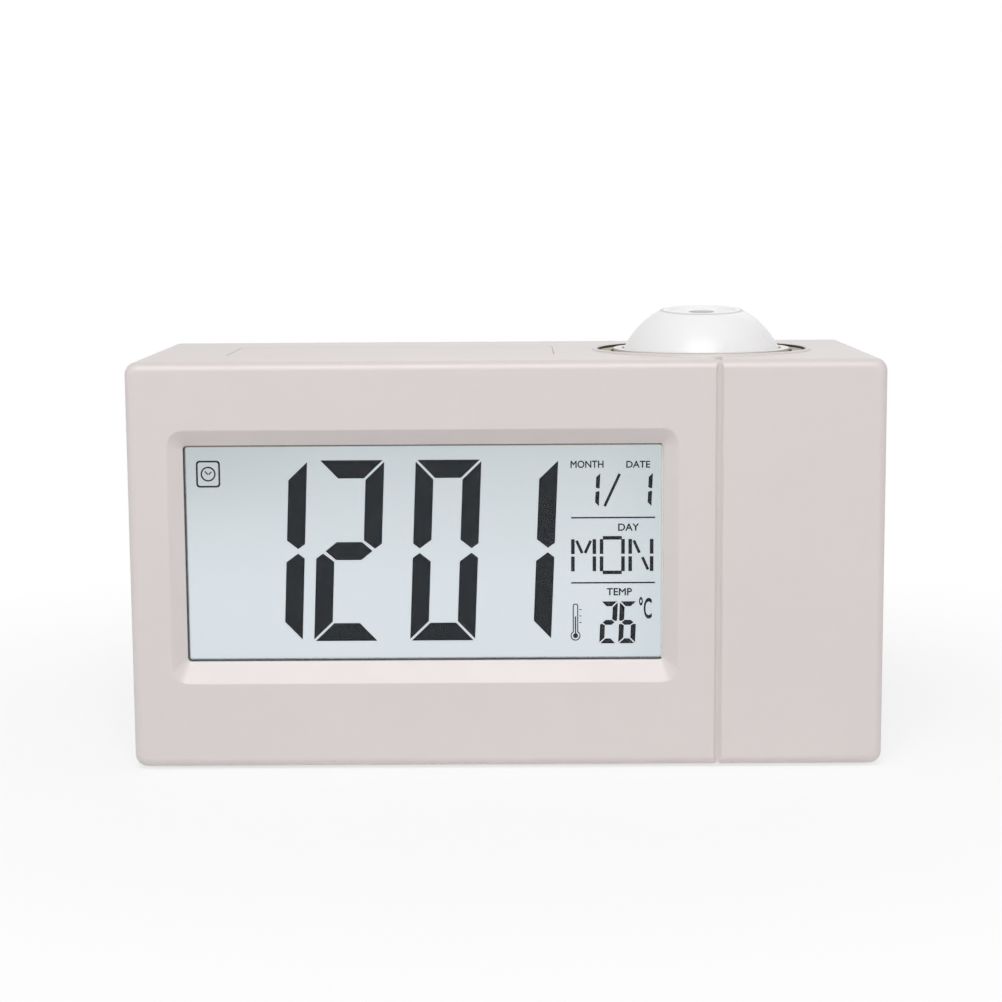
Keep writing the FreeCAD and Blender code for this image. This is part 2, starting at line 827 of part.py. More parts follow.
def seven_segment_parts(width, height, stroke, gap):
    """Outlines of the seven segments round the cell's centre, named a to g."""
    w, h, k = width / 2, height / 2, gap * 0.7
    tip, shoulder = 0.37 * stroke, 0.4 * stroke
    side = [(w, h - k), (w, shoulder), (w - tip, gap), (w - stroke, shoulder + 0.2 * stroke),
            (w - stroke, h - stroke - k)]
    flat = [(-w + k, h), (w - k, h), (w - k - stroke, h - stroke), (-w + k + stroke, h - stroke)]
    reach, half = w - 0.5 * stroke, stroke / 2
    middle = [(-reach, 0), (-reach + 0.6 * stroke, half), (reach - 0.6 * stroke, half), (reach, 0),
              (reach - 0.6 * stroke, -half), (-reach + 0.6 * stroke, -half)]
    flip_x = lambda pts: [(-x, z) for x, z in pts]
    flip_z = lambda pts: [(x, -z) for x, z in pts]
    return {"a": flat, "b": side, "c": flip_z(side), "d": flip_z(flat), "e": flip_z(flip_x(side)),
            "f": flip_x(side), "g": middle}


lit_segments = {"0": "abcdef", "1": "bc", "2": "abged", "6": "afgedc"}


def slanted(points, x, z):
    """Points moved to a cell's place and leaned with the display's characters."""
    lean = math.tan(math.radians(digit_slant))
    return [(x + u + lean * v, z + v) for u, v in points]


def digit(text, x, z, width, height, stroke, gap):
    """The lit segments of one character."""
    outlines = seven_segment_parts(width, height, stroke, gap)
    return [polygon_plate(slanted(outlines[name], x, z), segment_front, segment_back)
            for name in lit_segments[text]]


def bar(x0, z0, x1, z1, stroke):
    """Straight stroke between two points of the display."""
    run = math.hypot(x1 - x0, z1 - z0)
    dx, dz = (x1 - x0) / run * stroke / 2, (z1 - z0) / run * stroke / 2
    corners = [(x0 - dz, z0 + dx), (x0 + dz, z0 - dx), (x1 + dz, z1 - dx), (x1 - dz, z1 + dx)]
    return polygon_plate(corners, segment_front, segment_back)


def weekday(x, z, width, height, stroke):
    """The weekday in strokes with small breaks, as such displays draw letters."""
    w, h, gap = width / 2, height / 2, stroke * 0.33
    step = width * 1.335
    plates = []
    for shift in (0, 1, 2):
        cx = x + shift * step
        for side in (-1, 1):
            for end in (-1, 1):
                plates.append(bar(cx + side * w, z + end * gap, cx + side * w, z + end * (h - gap), stroke))
    left, middle, right = x, x + step, x + 2 * step
    far, tip, near, low = w - stroke, h - stroke * 0.75, stroke * 0.4, stroke * 0.6
    plates.append(bar(left - far, z + tip, left - near, z + low, stroke * 0.8))
    plates.append(bar(left + far, z + tip, left + near, z + low, stroke * 0.8))
    plates.append(bar(middle - w + gap, z + h, middle + w - gap, z + h, stroke))
    plates.append(bar(middle - w + gap, z - h, middle + w - gap, z - h, stroke))
    plates.append(bar(right - far, z + tip, right - near, z + low, stroke * 0.8))
    plates.append(bar(right + near, z - low, right + far, z - tip, stroke * 0.8))
    return plates


def across(share):
    """X of a share of the window's width from its left edge."""
    return window_left + share * window_width


def upward(share):
    """Z of a share of the window's height from its lower edge."""
    return window_low + share * window_height


def lcd_segments():
    """Every lit part of the display, in the thin layer between its two glasses."""
    unit = window_width / 100
    width, height = digit_width_share * window_width, digit_height_share * window_height
    stroke, gap = digit_stroke_share * window_width, digit_gap_share * window_width
    plates = []
    for text, share in (("1", hour_tens_share), ("2", hour_ones_share),
                        ("0", minute_tens_share), ("1", minute_ones_share)):
        plates += digit(text, across(share), upward(digit_middle_share), width, height, stroke, gap)
    for share in (0.850, 0.960):
        plates += digit("1", across(share), upward(0.780), 3.57 * unit, 7.35 * unit, 0.84 * unit, 0.26 * unit)
    plates.append(bar(across(0.8783), upward(0.7041), across(0.9098), upward(0.8532), 0.58 * unit))
    thickness = rule_share * window_height
    for share in (upper_rule_share, lower_rule_share):
        plates.append(bar(across(column_left_share), upward(share),
                          across(column_right_share), upward(share), thickness))
    plates += weekday(across(0.8342), upward(0.4771), 4.51 * unit, 7.35 * unit, 0.76 * unit)
    for text, share in (("2", 0.8867), ("6", 0.9266)):
        plates += digit(text, across(share), upward(0.1628),
                        3.57 * unit, 9.0 * unit, 1.05 * unit, 0.28 * unit)
    plates += thermometer(across(0.8169), upward(0.1009), unit)
    plates += alarm_mark(across(0.0483), upward(0.8624), unit)
    return group(plates)


def thermometer(x, z, unit):
    """Outline of a thermometer with its column and three marks beside it."""
    y0, y1 = segment_front, segment_back
    bulb, stem, top, line = 1.05 * unit, 0.58 * unit, 6.9 * unit, 0.22 * unit
    slim = stem - line
    outline = rod(bulb, (x, y0, z), (x, y1, z)).fuse(
        rounded_plate(x - stem, x + stem, y0, y1, z, z + top, stem * 0.9))
    inner = rod(bulb - line, (x, y0 - 1, z), (x, y1 + 1, z)).fuse(
        rounded_plate(x - slim, x + slim, y0 - 1, y1 + 1, z, z + top - line, slim * 0.9))
    column = box(x - line * 0.6, x + line * 0.6, y0, y1, z, z + top * 0.6)
    drop = rod(bulb * 0.5, (x, y0, z), (x, y1, z)).fuse(column)
    levels = [z + top * share for share in (0.4, 0.6, 0.8)]
    marks = [box(x + stem + line, x + stem + 3.2 * line, y0, y1, level, level + line * 0.8)
             for level in levels]
    return [outline.removeSplitter().cut(inner), drop.removeSplitter()] + marks


def alarm_mark(x, z, unit):
    """Small clock face in a square frame."""
    half_x, half_z, line = 2.52 * unit, 2.83 * unit, 0.37 * unit
    y0, y1 = segment_front, segment_back
    frame = rounded_plate(x - half_x, x + half_x, y0, y1, z - half_z, z + half_z, 0.73 * unit)
    frame = frame.cut(rounded_plate(x - half_x + line, x + half_x - line, y0 - 1, y1 + 1,
                                    z - half_z + line, z + half_z - line, 0.5 * unit))
    face = rod(1.57 * unit, (x, y0, z), (x, y1, z)).cut(rod(1.26 * unit, (x, y0 - 1, z), (x, y1 + 1, z)))
    hands = [bar(x - 0.05 * unit, z - 0.1 * unit, x - 0.68 * unit, z + 0.58 * unit, 0.26 * unit),
             bar(x + 0.1 * unit, z - 0.1 * unit, x + 0.73 * unit, z + 0.47 * unit, 0.26 * unit)]
    return [frame, face] + hands


# Boards and what is on them

def main_board():
    board = box(main_board_left, main_board_right, main_board_y, main_board_back,
                frame_low + 0.5, main_board_top)
    return cut(board, [rod(small_screw_radius + 0.1, (x, main_board_y - 1, z), (x, main_board_back + 1, z))
                       for x, z in board_screw_spots()])


def board_screws():
    length = main_board_back - foil_back - 0.1
    return group([small_screw((x, main_board_back, z), (0, -1, 0), length)
                  for x, z in board_screw_spots()])


def board_x(share):
    """X of a share of the main board's width from its left edge."""
    return main_board_left + share * (main_board_right - main_board_left)


def board_z(share):
    """Z of a share of the main board's height from its lower edge."""
    return frame_low + share * (main_board_top - frame_low)


def driver_chip():
    """Flat dome of black resin over the bare chip."""
    x, z, radius, height = board_x(0.447), board_z(0.467), 9.0, 1.8
    ball = (radius ** 2 + height ** 2) / (2 * height)
    dome = Part.makeSphere(ball, vec(x, main_board_back + height - ball, z))
    return dome.common(rod(radius, (x, main_board_back, z), (x, main_board_back + height + 1, z)))


def crystal():
    """Round can lying on the board, with two bent leads."""
    radius, length, lead, spread = 1.5, 8.0, 0.25, 0.6
    middle, z, y = board_x(0.684), board_z(0.43), main_board_back + radius
    can = rod(radius, (middle, y, z), (middle, y, z + length))
    leads = [wire_run([(x, main_board_back, z - 1), (x, y - 0.3, z - 1), (x, y - 0.3, z + 0.2)], lead)
             for x in (middle - spread, middle + spread)]
    return fuse([can] + leads)


def capacitors():
    cans = []
    for x, z, radius, height in ((board_x(0.158), board_z(0.69), 3.15, 7.0),
                                 (board_x(0.158), board_z(0.3), 2.5, 6.0),
                                 (board_x(0.882), board_z(0.3), 2.5, 6.0)):
        can = rod(radius, (x, main_board_back, z), (x, main_board_back + height, z))
        cans.append(round_edges(can, 0.3, lambda e: at_level(e, 1, main_board_back + height)))
    return group(cans)


def wire_sockets():
    """White headers where the wires join the board."""
    return group([box(x - half, x + half, main_board_back, main_board_back + header_height,
                      z - header_half_height, z + header_half_height)
                  for x, z, half in wire_socket_spots()])


def wire_socket_spots():
    """Places of the headers for the battery, the power socket, the projector and the key board."""
    low = board_z(0.135)
    return ((board_x(0.2895), low, header_half_width), (board_x(0.7895), low, header_half_width),
            (board_x(0.921), board_screw_spots()[1][1] - header_below_screw, header_half_width),
            (board_x(0.684), button_row_z - 2.0, flat_cable_half_width + 1.0))


def snooze_switch():
    """Side-acting switch at the top of the main board; the snooze bar's stem works in its bore."""
    half = switch_size / 2 + 0.5
    body = box(snooze_stem_x - half, snooze_stem_x + half, main_board_back, main_board_back + 2 * half,
               main_board_top - switch_size + 1, main_board_top)
    return body.cut(rod(stem_radius + stem_gap, (snooze_stem_x, stem_line(), main_board_top - 4.2),
                        (snooze_stem_x, stem_line(), main_board_top + 1)))


def stem_line():
    """Y of the snooze stem, at the middle of its switch."""
    return main_board_back + (switch_size + 1) / 2


def key_board():
    half = (button_count - 1) * button_pitch / 2 + key_board_margin
    board = box(button_row_x - half, button_row_x + half, key_board_y, key_board_y + board_thickness,
                button_row_z - key_board_height / 2, button_row_z + key_board_height / 2)
    return cut(board, [rod(small_screw_radius + 0.1, (x, key_board_y - 1, z), (x, switch_front + 1, z))
                       for x, z in key_board_bosses()])


def key_switches():
    """One push switch per button; the button's stem works in its bore."""
    half = switch_size / 2
    bodies = []
    for x in button_spots():
        body = box(x - half, x + half, switch_front, switch_rear, button_row_z - half, button_row_z + half)
        bodies.append(body.cut(rod(stem_radius + stem_gap, (x, switch_front + 0.6, button_row_z),
                                   (x, switch_rear + 1, button_row_z))))
    return group(bodies)


def key_board_screws():
    return group([small_screw((x, key_board_y, z), (0, 1, 0), board_thickness + 2.6)
                  for x, z in key_board_bosses()])


def ribbon_cable():
    """Flat cable from the main board's header to the key board."""
    x, z = wire_socket_spots()[3][:2]
    level = z - header_half_height + flat_cable_half_thickness
    return box(x - flat_cable_half_width, x + flat_cable_half_width, main_board_back + header_height,
               key_board_y, level - flat_cable_half_thickness, level + flat_cable_half_thickness)


def temperature_sensor():
    """Resin bead on two leads below the key board."""
    x = button_row_x + (button_count - 1) * button_pitch / 2 + key_board_margin - sensor_inset
    z = button_row_z - key_board_height / 2 + 1.5
    y = key_board_y
    bead = Part.makeSphere(1.4, vec(x, y - 1.6, z - 7))
    leads = []
    for dx in (-0.7, 0.7):
        leads.append(wire_run([(x + dx, y, z), (x + dx, y - 1.6, z), (x + dx, y - 1.6, z - 7)], 0.25))
    return fuse([bead] + leads)


def buzzer():
    back = back_inner - 0.4
    can = rod(buzzer_radius, (buzzer_x, back - buzzer_height, buzzer_z), (buzzer_x, back, buzzer_z))
    can = round_edges(can, 0.4, lambda e: at_level(e, 1, back))
    return can.cut(rod(1.2, (buzzer_x, back - 1.5, buzzer_z), (buzzer_x, back + 1, buzzer_z)))


def power_socket():
    """Barrel socket with a centre pin, held between two ribs of the back cover."""
    half = socket_width / 2
    body = box(socket_x - half, socket_x + half, socket_back, socket_face,
               socket_z - half - 1, socket_z + half)
    body = body.cut(rod(socket_bore, (socket_x, socket_face - socket_depth, socket_z),
                        (socket_x, socket_face + 1, socket_z)))
    pin_tip = back_y - socket_opening - 0.3
    pin = rod(socket_pin, (socket_x, socket_face - socket_depth - 0.5, socket_z),
              (socket_x, pin_tip, socket_z))
    return fuse([body, pin])


def projector_switch_body():
    """Slide switch held between two posts of the back cover."""
    low, high = slider_track_ends()
    y0 = slider_body_back - slider_body_height
    body = box(low, high, y0, slider_body_back, slider_z - 3, slider_z + 3)
    track = box(slider_x - 1.4, slider_x + slider_travel + 1.4, slider_body_back - 2.4, slider_body_back + 1,
                slider_z - 1.3, slider_z + 1.3)
    return body.cut(track)


def wiring_runs():
    """Pairs of wires from the main board to the cells and to the power socket."""
    header = main_board_back + header_height
    tail = tray_floor - tray_wall - tail_reach
    clear, bend = header + wire_start, tail - wire_start
    battery, supply = wire_socket_spots()[0], wire_socket_spots()[1]
    half_contact = contact_thickness / 2
    runs = []
    for shift, x, z in ((-lead_half_pitch, bay_left + half_contact, cell_height(0)),
                        (lead_half_pitch, bay_right - half_contact, cell_height(cell_count - 1))):
        start = battery[0] + shift
        runs.append([(start, header, battery[1]), (start, clear, battery[1]), (x, bend, z), (x, tail, z)])
    entry = socket_z - 1
    for shift in (-lead_half_pitch, lead_half_pitch):
        start, end = supply[0] + shift, socket_x + shift
        runs.append([(start, header, supply[1]), (start, clear, supply[1]),
                     (end, socket_back - 2 * wire_start, entry), (end, socket_back, entry)])
    return runs


def power_wires():
    return group([wire_run(points, wire_radius) for points in wiring_runs()])


# Projector head. Its pieces are made round the ball's centre, with the lens looking up, and are then
# tilted and moved to their place.

def seat_head(shape):
    """Tilt a piece of the head towards the front and move it to the head's centre."""
    placed = shape.copy()
    placed.rotate(vec(0, 0, 0), vec(1, 0, 0), head_rest_tilt)
    placed.translate(vec(head_x, head_y, head_z))
    return placed


def ball_block():
    """The ball with its facet and the two side flats."""
    reach, flat = 2 * ball_radius, ball_radius - side_flat
    sphere = Part.makeSphere(ball_radius)
    sphere.rotate(vec(0, 0, 0), vec(0, 0, 1), 90)
    return sphere.common(box(-flat, flat, -reach, reach, -reach, facet_height))


def ball_room():
    room = Part.makeSphere(ball_radius - ball_wall)
    reach = 2 * ball_radius
    return room.common(box(-reach, reach, -reach, reach, -reach, facet_height - facet_plate))


def ball_upper_shell():
    """Upper half of the ball, with the dish and the hole for the lens."""
    reach = 2 * ball_radius
    shell = ball_block().cut(ball_room()).common(box(-reach, reach, -reach, reach, 0, reach))
    shell = round_edges(shell, facet_round, lambda e: at_level(e, 2, facet_height))
    dish = Part.makeCone(dish_radius - dish_wall, dish_radius, dish_depth,
                         vec(0, 0, facet_height - dish_depth))
    hole = rod(lens_radius + 0.1, (0, 0, facet_height - facet_plate - 1), (0, 0, facet_height))
    guide = rod(barrel_radius + barrel_wall, (0, 0, guide_low), (0, 0, facet_height - facet_plate))
    shell = shell.fuse(guide)
    bore = rod(barrel_radius + 0.05, (0, 0, 0), (0, 0, facet_height - facet_plate))
    pins = [rod(pivot_radius, (s * 10, 0, 0), (s * reach, 0, 0)) for s in (-1, 1)]
    return cut(shell, [dish, hole, bore] + pins)


def ball_lower_shell():
    """Lower half of the ball, with both pivot pins; the left one is hollow for the leads."""
    reach = 2 * ball_radius
    shell = ball_block().cut(ball_room()).common(box(-reach, reach, -reach, reach, -reach, 0))
    lip = rod(ball_radius - ball_wall - 0.1, (0, 0, -2.0), (0, 0, 1.5))
    lip = lip.cut(rod(ball_radius - ball_wall - 0.9, (0, 0, -3), (0, 0, 3)))
    pins = [rod(pivot_radius, (s * (ball_radius - ball_wall - 0.9), 0, 0), (s * pivot_reach, 0, 0))
            for s in (-1, 1)]
    inside = Part.makeSphere(ball_radius - 0.4)
    posts = [rod(lamp_post_radius, (x, 0, -ball_radius), (x, 0, lamp_board_low)).common(inside)
             for x in (-lamp_post_x, lamp_post_x)]
    shell = fuse([shell, lip] + pins + posts)
    bore = rod(pivot_wire_radius, (-reach, 0, 0), (-ball_radius + 3.5, 0, 0))
    pilots = [rod(small_screw_radius, (s * lamp_post_x, 0, lamp_board_low - 4),
                  (s * lamp_post_x, 0, lamp_board_low + 1))
              for s in (-1, 1)]
    return cut(shell, [bore] + pilots)


def lens_barrel():
    """Tube with a foot that carries the lens at its top."""
    top = facet_height - facet_plate
    body = fuse([rod(barrel_radius, (0, 0, slide_high), (0, 0, top)),
                 rod(lamp_housing_radius, (0, 0, slide_high), (0, 0, slide_high + 1.2))])
    return cut(body, [rod(lens_radius - 0.7, (0, 0, slide_high - 1), (0, 0, top + 1))])


def projector_lens():
    """Small lens with a domed front."""
    low = facet_height - facet_plate
    radius = (lens_radius ** 2 + lens_dome ** 2) / (2 * lens_dome)
    dome = Part.makeSphere(radius, vec(0, 0, low + lens_height + lens_dome - radius))
    return dome.common(rod(lens_radius, (0, 0, low), (0, 0, low + lens_height + lens_dome + 1)))


def projector_slide():
    """Tiny display that the lamp shines through."""
    half = slide_width / 2
    return box(-half, half, -half, half, slide_low, slide_high)


def condenser_lens():
    """Plano-convex lens that gathers the lamp's light, flat side up."""
    radius, height = lamp_housing_radius - 1.3, slide_low - condenser_low
    ball = (radius ** 2 + height ** 2) / (2 * height)
    dome = Part.makeSphere(ball, vec(0, 0, condenser_low + ball))
    return dome.common(rod(radius, (0, 0, condenser_low - 1), (0, 0, slide_low)))


def lamp_housing():
    """Black tube that keeps the lamp's light in line."""
    body = rod(lamp_housing_radius, (0, 0, lamp_board_top), (0, 0, slide_high))
    half = slide_width / 2 + 0.05
    pocket = box(-half, half, -half, half, slide_low, slide_high + 1)
    upper = rod(lamp_housing_radius - 1.25, (0, 0, condenser_low - 0.6), (0, 0, slide_low))
    lower = rod(lamp_housing_radius - 2.6, (0, 0, lamp_board_top - 1), (0, 0, condenser_low))
    return cut(body, [pocket, upper, lower])


def projector_lamp():
    """Light-emitting diode with a round dome."""
    foot = lamp_board_top + lamp_flange_height
    base = rod(lamp_flange_radius, (0, 0, lamp_board_top), (0, 0, foot))
    dome = Part.makeSphere(lamp_dome_radius, vec(0, 0, foot))
    dome = dome.common(rod(lamp_flange_radius, (0, 0, foot), (0, 0, foot + 2 * lamp_dome_radius)))
    return fuse([base, dome])


def lamp_board():
    edge = lamp_post_x + lamp_board_edge
    board = box(-edge, edge, -lamp_board_half_depth, lamp_board_half_depth, lamp_board_low, lamp_board_top)
    return cut(board, [rod(small_screw_radius + 0.1, (s * lamp_post_x, 0, lamp_board_low - 1),
                           (s * lamp_post_x, 0, lamp_board_top + 1)) for s in (-1, 1)])


def lamp_board_screws():
    """Two screws that hold the lamp board on its posts."""
    length = board_thickness + 3.0
    return group([seat_head(small_screw((s * lamp_post_x, 0, lamp_board_top), (0, 0, -1), length))
                  for s in (-1, 1)])


def lamp_leads():
    """Two thin leads from the lamp board out through the hollow pin."""
    leads = []
    for dz in (-0.5, 0.5):
        y = dz * 2.4
        leads.append(wire_run([(-11.0, y + 3.5, lamp_board_top), (-11.0, y + 3.5, -3.0), (-12.5, dz, 0),
                               (-pivot_reach - 0.2, dz, 0)], lead_radius))
    return group([seat_head(lead) for lead in leads])


def projector_wires():
    """The same pair inside the case, from the pin's mouth to the main board."""
    header = wire_socket_spots()[2]
    runs = []
    for shift in (-0.6, 0.6):
        mouth = head_x - pivot_reach - 0.7
        outside = head_x - bearing_reach - 2.0
        turn_y = main_board_back + header_height + wire_start
        runs.append([(mouth, head_y + shift, head_z), (outside, head_y + shift, head_z),
                     (header[0] + shift * 2, turn_y, header[1]),
                     (header[0] + shift * 2, main_board_back + header_height, header[1])])
    return group([wire_run(points, lead_radius) for points in runs])


# What carries the head

def turned(profile, low_arc):
    """Solid of revolution round the head's upright axis from points (radius, height)."""
    edges = []
    corners = [vec(head_x + r, head_y, z) for r, z in profile]
    for i, corner in enumerate(corners):
        following = corners[(i + 1) % len(corners)]
        if i in low_arc:
            edges.append(Part.Arc(corner, low_arc[i], following).toShape())
        else:
            edges.append(Part.LineSegment(corner, following).toShape())
    return Part.Face(Part.Wire(edges)).revolve(vec(head_x, head_y, 0), vec(0, 0, 1), 360)


def bowl_point(radius, z):
    """Point of a sphere round the head's centre at a given height."""
    return math.sqrt(radius ** 2 - (z - head_z) ** 2), z


def sphere_middle(radius, z0, z1):
    r, z = bowl_point(radius, (z0 + z1) / 2)
    return vec(head_x + r, head_y, z)


def ear_spots():
    offset = ear_reach * math.sqrt(0.5)
    return [(head_x + sx * offset, head_y + sy * offset) for sx in (-1, 1) for sy in (-1, 1)]


def bearing_tools():
    """What is cut from the ring and the cradle for the ball, its pins and the washers."""
    tools = [Part.makeSphere(bowl_radius, vec(head_x, head_y, head_z))]
    reach = pivot_reach + 0.3
    tools.append(rod(pivot_radius + bearing_gap, (head_x - reach, head_y, head_z),
                     (head_x + reach, head_y, head_z)))
    face = ball_radius - side_flat + 0.1 + washer_thickness
    tools.append(rod(washer_radius + 0.2, (head_x - face, head_y, head_z), (head_x + face, head_y, head_z)))
    tools.append(rod(pivot_wire_radius, (head_x - 2 * ball_radius, head_y, head_z), (head_x, head_y, head_z)))
    return tools


def bearing_blocks(z0, z1):
    return [box(head_x + s * bearing_reach - (0 if s < 0 else bearing_reach - bowl_radius),
                head_x + s * bearing_reach + (bearing_reach - bowl_radius if s < 0 else 0),
                head_y - bearing_block, head_y + bearing_block, z0, z1) for s in (-1, 1)]


def recess_ring():
    """Ring in the round opening: a ledge, a narrow slot and a collar round the ball.

    It holds the upper half of each bearing.
    """
    ledge, collar = top_z - ledge_drop, top_z + collar_height
    slot_floor = ledge - collar_slot_depth
    neck = recess_radius - recess_ring_gap
    flange_low = roof_z - ring_flange
    profile = [bowl_point(bowl_radius, head_z), bowl_point(bowl_radius, collar), (collar_radius, collar),
               (collar_radius, slot_floor), (ledge_inner_radius, slot_floor), (ledge_inner_radius, ledge),
               (neck, ledge), (neck, roof_z), (ring_flange_radius, roof_z), (ring_flange_radius, flange_low),
               (cradle_radius + 0.4, flange_low), bowl_point(cradle_radius, head_z)]
    dip = vec(head_x + (ledge_inner_radius + neck) / 2, head_y, ledge - ledge_dip)
    ring = turned(profile, {0: sphere_middle(bowl_radius, head_z, collar), 5: dip})
    blocks = bearing_blocks(head_z, flange_low + 0.2)
    ears = [rod(ear_radius, (x, y, head_z), (x, y, flange_low + 0.2)) for x, y in ear_spots()]
    ring = fuse([ring] + blocks + ears)
    pilots = [rod(small_screw_radius, (x, y, head_z - 1), (x, y, flange_low - 0.5)) for x, y in ear_spots()]
    return cut(ring, bearing_tools() + pilots)


def ball_cradle():
    """Bowl under the ball that closes the bearings from below."""
    low = head_z - cradle_radius
    inner_low = head_z - bowl_radius
    profile = [bowl_point(bowl_radius, head_z), (cradle_radius, head_z), (0, low), (0, inner_low)]
    bowl = turned(profile, {1: sphere_middle(cradle_radius, head_z, low + 6),
                            3: sphere_middle(bowl_radius, inner_low + 6, head_z)})
    blocks = bearing_blocks(head_z - bearing_block, head_z)
    ears = [rod(ear_radius, (x, y, head_z - ear_height), (x, y, head_z)) for x, y in ear_spots()]
    bowl = fuse([bowl] + blocks + ears)
    holes = [rod(small_screw_radius + 0.1, (x, y, head_z - 10), (x, y, head_z + 1)) for x, y in ear_spots()]
    return cut(bowl, bearing_tools() + holes)


def cradle_screws():
    length = ear_height + roof_z - ring_flange - 0.6 - head_z
    return group([small_screw((x, y, head_z - ear_height), (0, 0, 1), length) for x, y in ear_spots()])


def pivot_washers():
    """Felt washers that give the head its friction."""
    face = ball_radius - side_flat + 0.1
    washers = []
    for s in (-1, 1):
        ends = (head_x + s * face, head_y, head_z), (head_x + s * (face + washer_thickness), head_y, head_z)
        washers.append(rod(washer_radius, *ends).cut(rod(pivot_radius + 0.1, *ends)))
    return group(washers)


# Controls

def snooze_bar():
    """Wide flush bar with a flange under the roof and a stem for its switch."""
    cap = flat_plate(*snooze_box(0), roof_z - 1.0, top_z, snooze_corner)
    cap = round_edges(cap, snooze_edge, lambda e: at_level(e, 2, top_z))
    flange_top = roof_z - 0.1
    flange = flat_plate(*snooze_box(snooze_flange), flange_top - 1.0, flange_top, snooze_corner)
    stem_end = main_board_top - 2.4
    stem = rod(stem_radius, (snooze_stem_x, stem_line(), stem_end), (snooze_stem_x, stem_line(), flange_top))
    return fuse([cap, flange, stem])


def rear_button(x):
    """Round button with a dished face, a flange and a stem that works its switch."""
    z = button_row_z
    cap = rod(button_radius, (x, button_foot, z), (x, button_face, z))
    cap = round_edges(cap, 0.5, lambda e: at_level(e, 1, button_face))
    flange = rod(button_radius + button_flange, (x, button_foot, z), (x, button_shoulder, z))
    stem = rod(stem_radius, (x, button_stem_end, z), (x, button_foot, z))
    body = fuse([cap, flange, stem])
    dish_middle = button_face + button_dish_radius - button_dish_depth
    return body.cut(Part.makeSphere(button_dish_radius, vec(x, dish_middle, z)))


def projector_switch_knob():
    """Sliding knob with three grip ribs and a peg that moves in the switch's track."""
    half, rise = slider_neck / 2, slider_height / 2
    face = back_y - 0.3
    neck = box(slider_x - half, slider_x + half, slider_foot, face, slider_z - rise, slider_z + rise)
    flange = box(slider_x - half - slider_flange, slider_x + half + slider_flange,
                 slider_foot, slider_inner - 0.2, slider_z - rise - 0.9, slider_z + rise + 0.9)
    peg = rod(0.9, (slider_x, slider_body_back - 2.0, slider_z), (slider_x, slider_foot, slider_z))
    body = fuse([neck, flange, peg])
    return cut(body, [box(x - 0.25, x + 0.25, face - 0.5, face + 1, slider_z - 5, slider_z + 5)
                      for x in (slider_x - 1.1, slider_x, slider_x + 1.1)])


def battery_door():
    """Flush lid with two tabs that hook behind the lower edge of its opening."""
    x0, x1 = bay_left + door_gap, bay_right - door_gap
    z0, z1 = bay_bottom + door_gap, bay_top - door_gap
    plate = rounded_plate(x0, x1, door_inner, back_y, z0, z1, 0.6)
    outer = back_inner - tab_gap
    tabs = []
    for x in tab_spots():
        half = tab_width / 2
        tabs.append(box(x - half, x + half, outer, door_inner + 0.5, z0, z0 + 1.2))
        tabs.append(box(x - half, x + half, outer - tab_thickness, outer, bay_bottom - tab_drop, z0 + 1.2))
    body = fuse([plate] + tabs)
    middle = (x0 + x1) / 2
    grips = [box(middle - 7 + i * 0.4, middle + 7 - i * 0.4, back_y - 0.4, back_y + 1,
                 z1 - 3.0 - 1.5 * i, z1 - 2.4 - 1.5 * i) for i in range(4)]
    return cut(body, grips)


# Batteries

def battery_cells():
    """Cells side by side, each turned end for end from its neighbour."""
    cells = []
    for row in range(cell_count):
        z = cell_height(row)
        inward = -1 if row % 2 == 0 else 1
        wall_x = bay_right if inward < 0 else bay_left
        nub_end = wall_x + inward * (contact_thickness + 0.05)
        shoulder = nub_end + inward * cell_nub
        far = nub_end + inward * cell_length
        body = rod(cell_radius, (shoulder, cell_y, z), (far, cell_y, z))
        body = body.makeFillet(0.5, [e for e in body.Edges if abs(e.BoundBox.XLength) < 1e-3])
        cells.append(fuse([body, rod(cell_nub_radius, (nub_end, cell_y, z), (shoulder, cell_y, z))]))
    return group(cells)


def contact_rows():
    """Rows that each contact plate spans, at the left and at the right end of the bay."""
    last = cell_count - 1
    return {"left": [(0, 0)] + [(row, min(row + 1, last)) for row in range(1, cell_count, 2)],
            "right": [(row, min(row + 1, last)) for row in range(0, cell_count, 2)]}


def contact_plates():
    """Plates at the ends of the cells; two of them have a tail through the tray's floor."""
    plates = []
    for end, spans in contact_rows().items():
        x = bay_left if end == "left" else bay_right - contact_thickness
        for low, high in spans:
            z0 = cell_height(low) - contact_height / 2
            z1 = cell_height(high) + contact_height / 2
            plate = box(x, x + contact_thickness, tray_floor, cell_y + contact_height / 2, z0, z1)
            tail_row = 0 if end == "left" else cell_count - 1
            if low == high == tail_row:
                z = cell_height(tail_row)
                tail = box(x, x + contact_thickness, tray_floor - tray_wall - tail_reach, tray_floor,
                           z - 0.9, z + 0.9)
                plate = fuse([plate, tail])
            plates.append(plate)
    return group(plates)


def contact_springs():
    """Cone springs that press each cell towards its nub."""
    length = bay_width - 2 * contact_thickness - cell_length - 0.15
    rise = length - 2 * spring_wire
    pitch = rise / spring_turns
    angle = math.degrees(math.atan((spring_base_radius - spring_end_radius) / rise))
    springs = []
    for row in range(cell_count):
        path = Part.makeHelix(pitch, rise, spring_end_radius, angle)
        start = min((path.Vertexes[0].Point, path.Vertexes[-1].Point), key=lambda point: point.z)
        circle = Part.Wire(Part.Circle(start, vec(0, 1, 0), spring_wire).toShape())
        coil = Part.Wire(path).makePipeShell([circle], True, True)
        side = 1 if row % 2 == 0 else -1
        spin = FreeCAD.Rotation(vec(0, 0, 1), vec(-side, 0, 0))
        plate = bay_left + contact_thickness if side > 0 else bay_right - contact_thickness
        tip = vec(plate + side * (rise + spring_wire + 0.05), cell_y, cell_height(row))
        coil.Placement = FreeCAD.Placement(tip, spin)
        springs.append(coil)
    return group(springs)


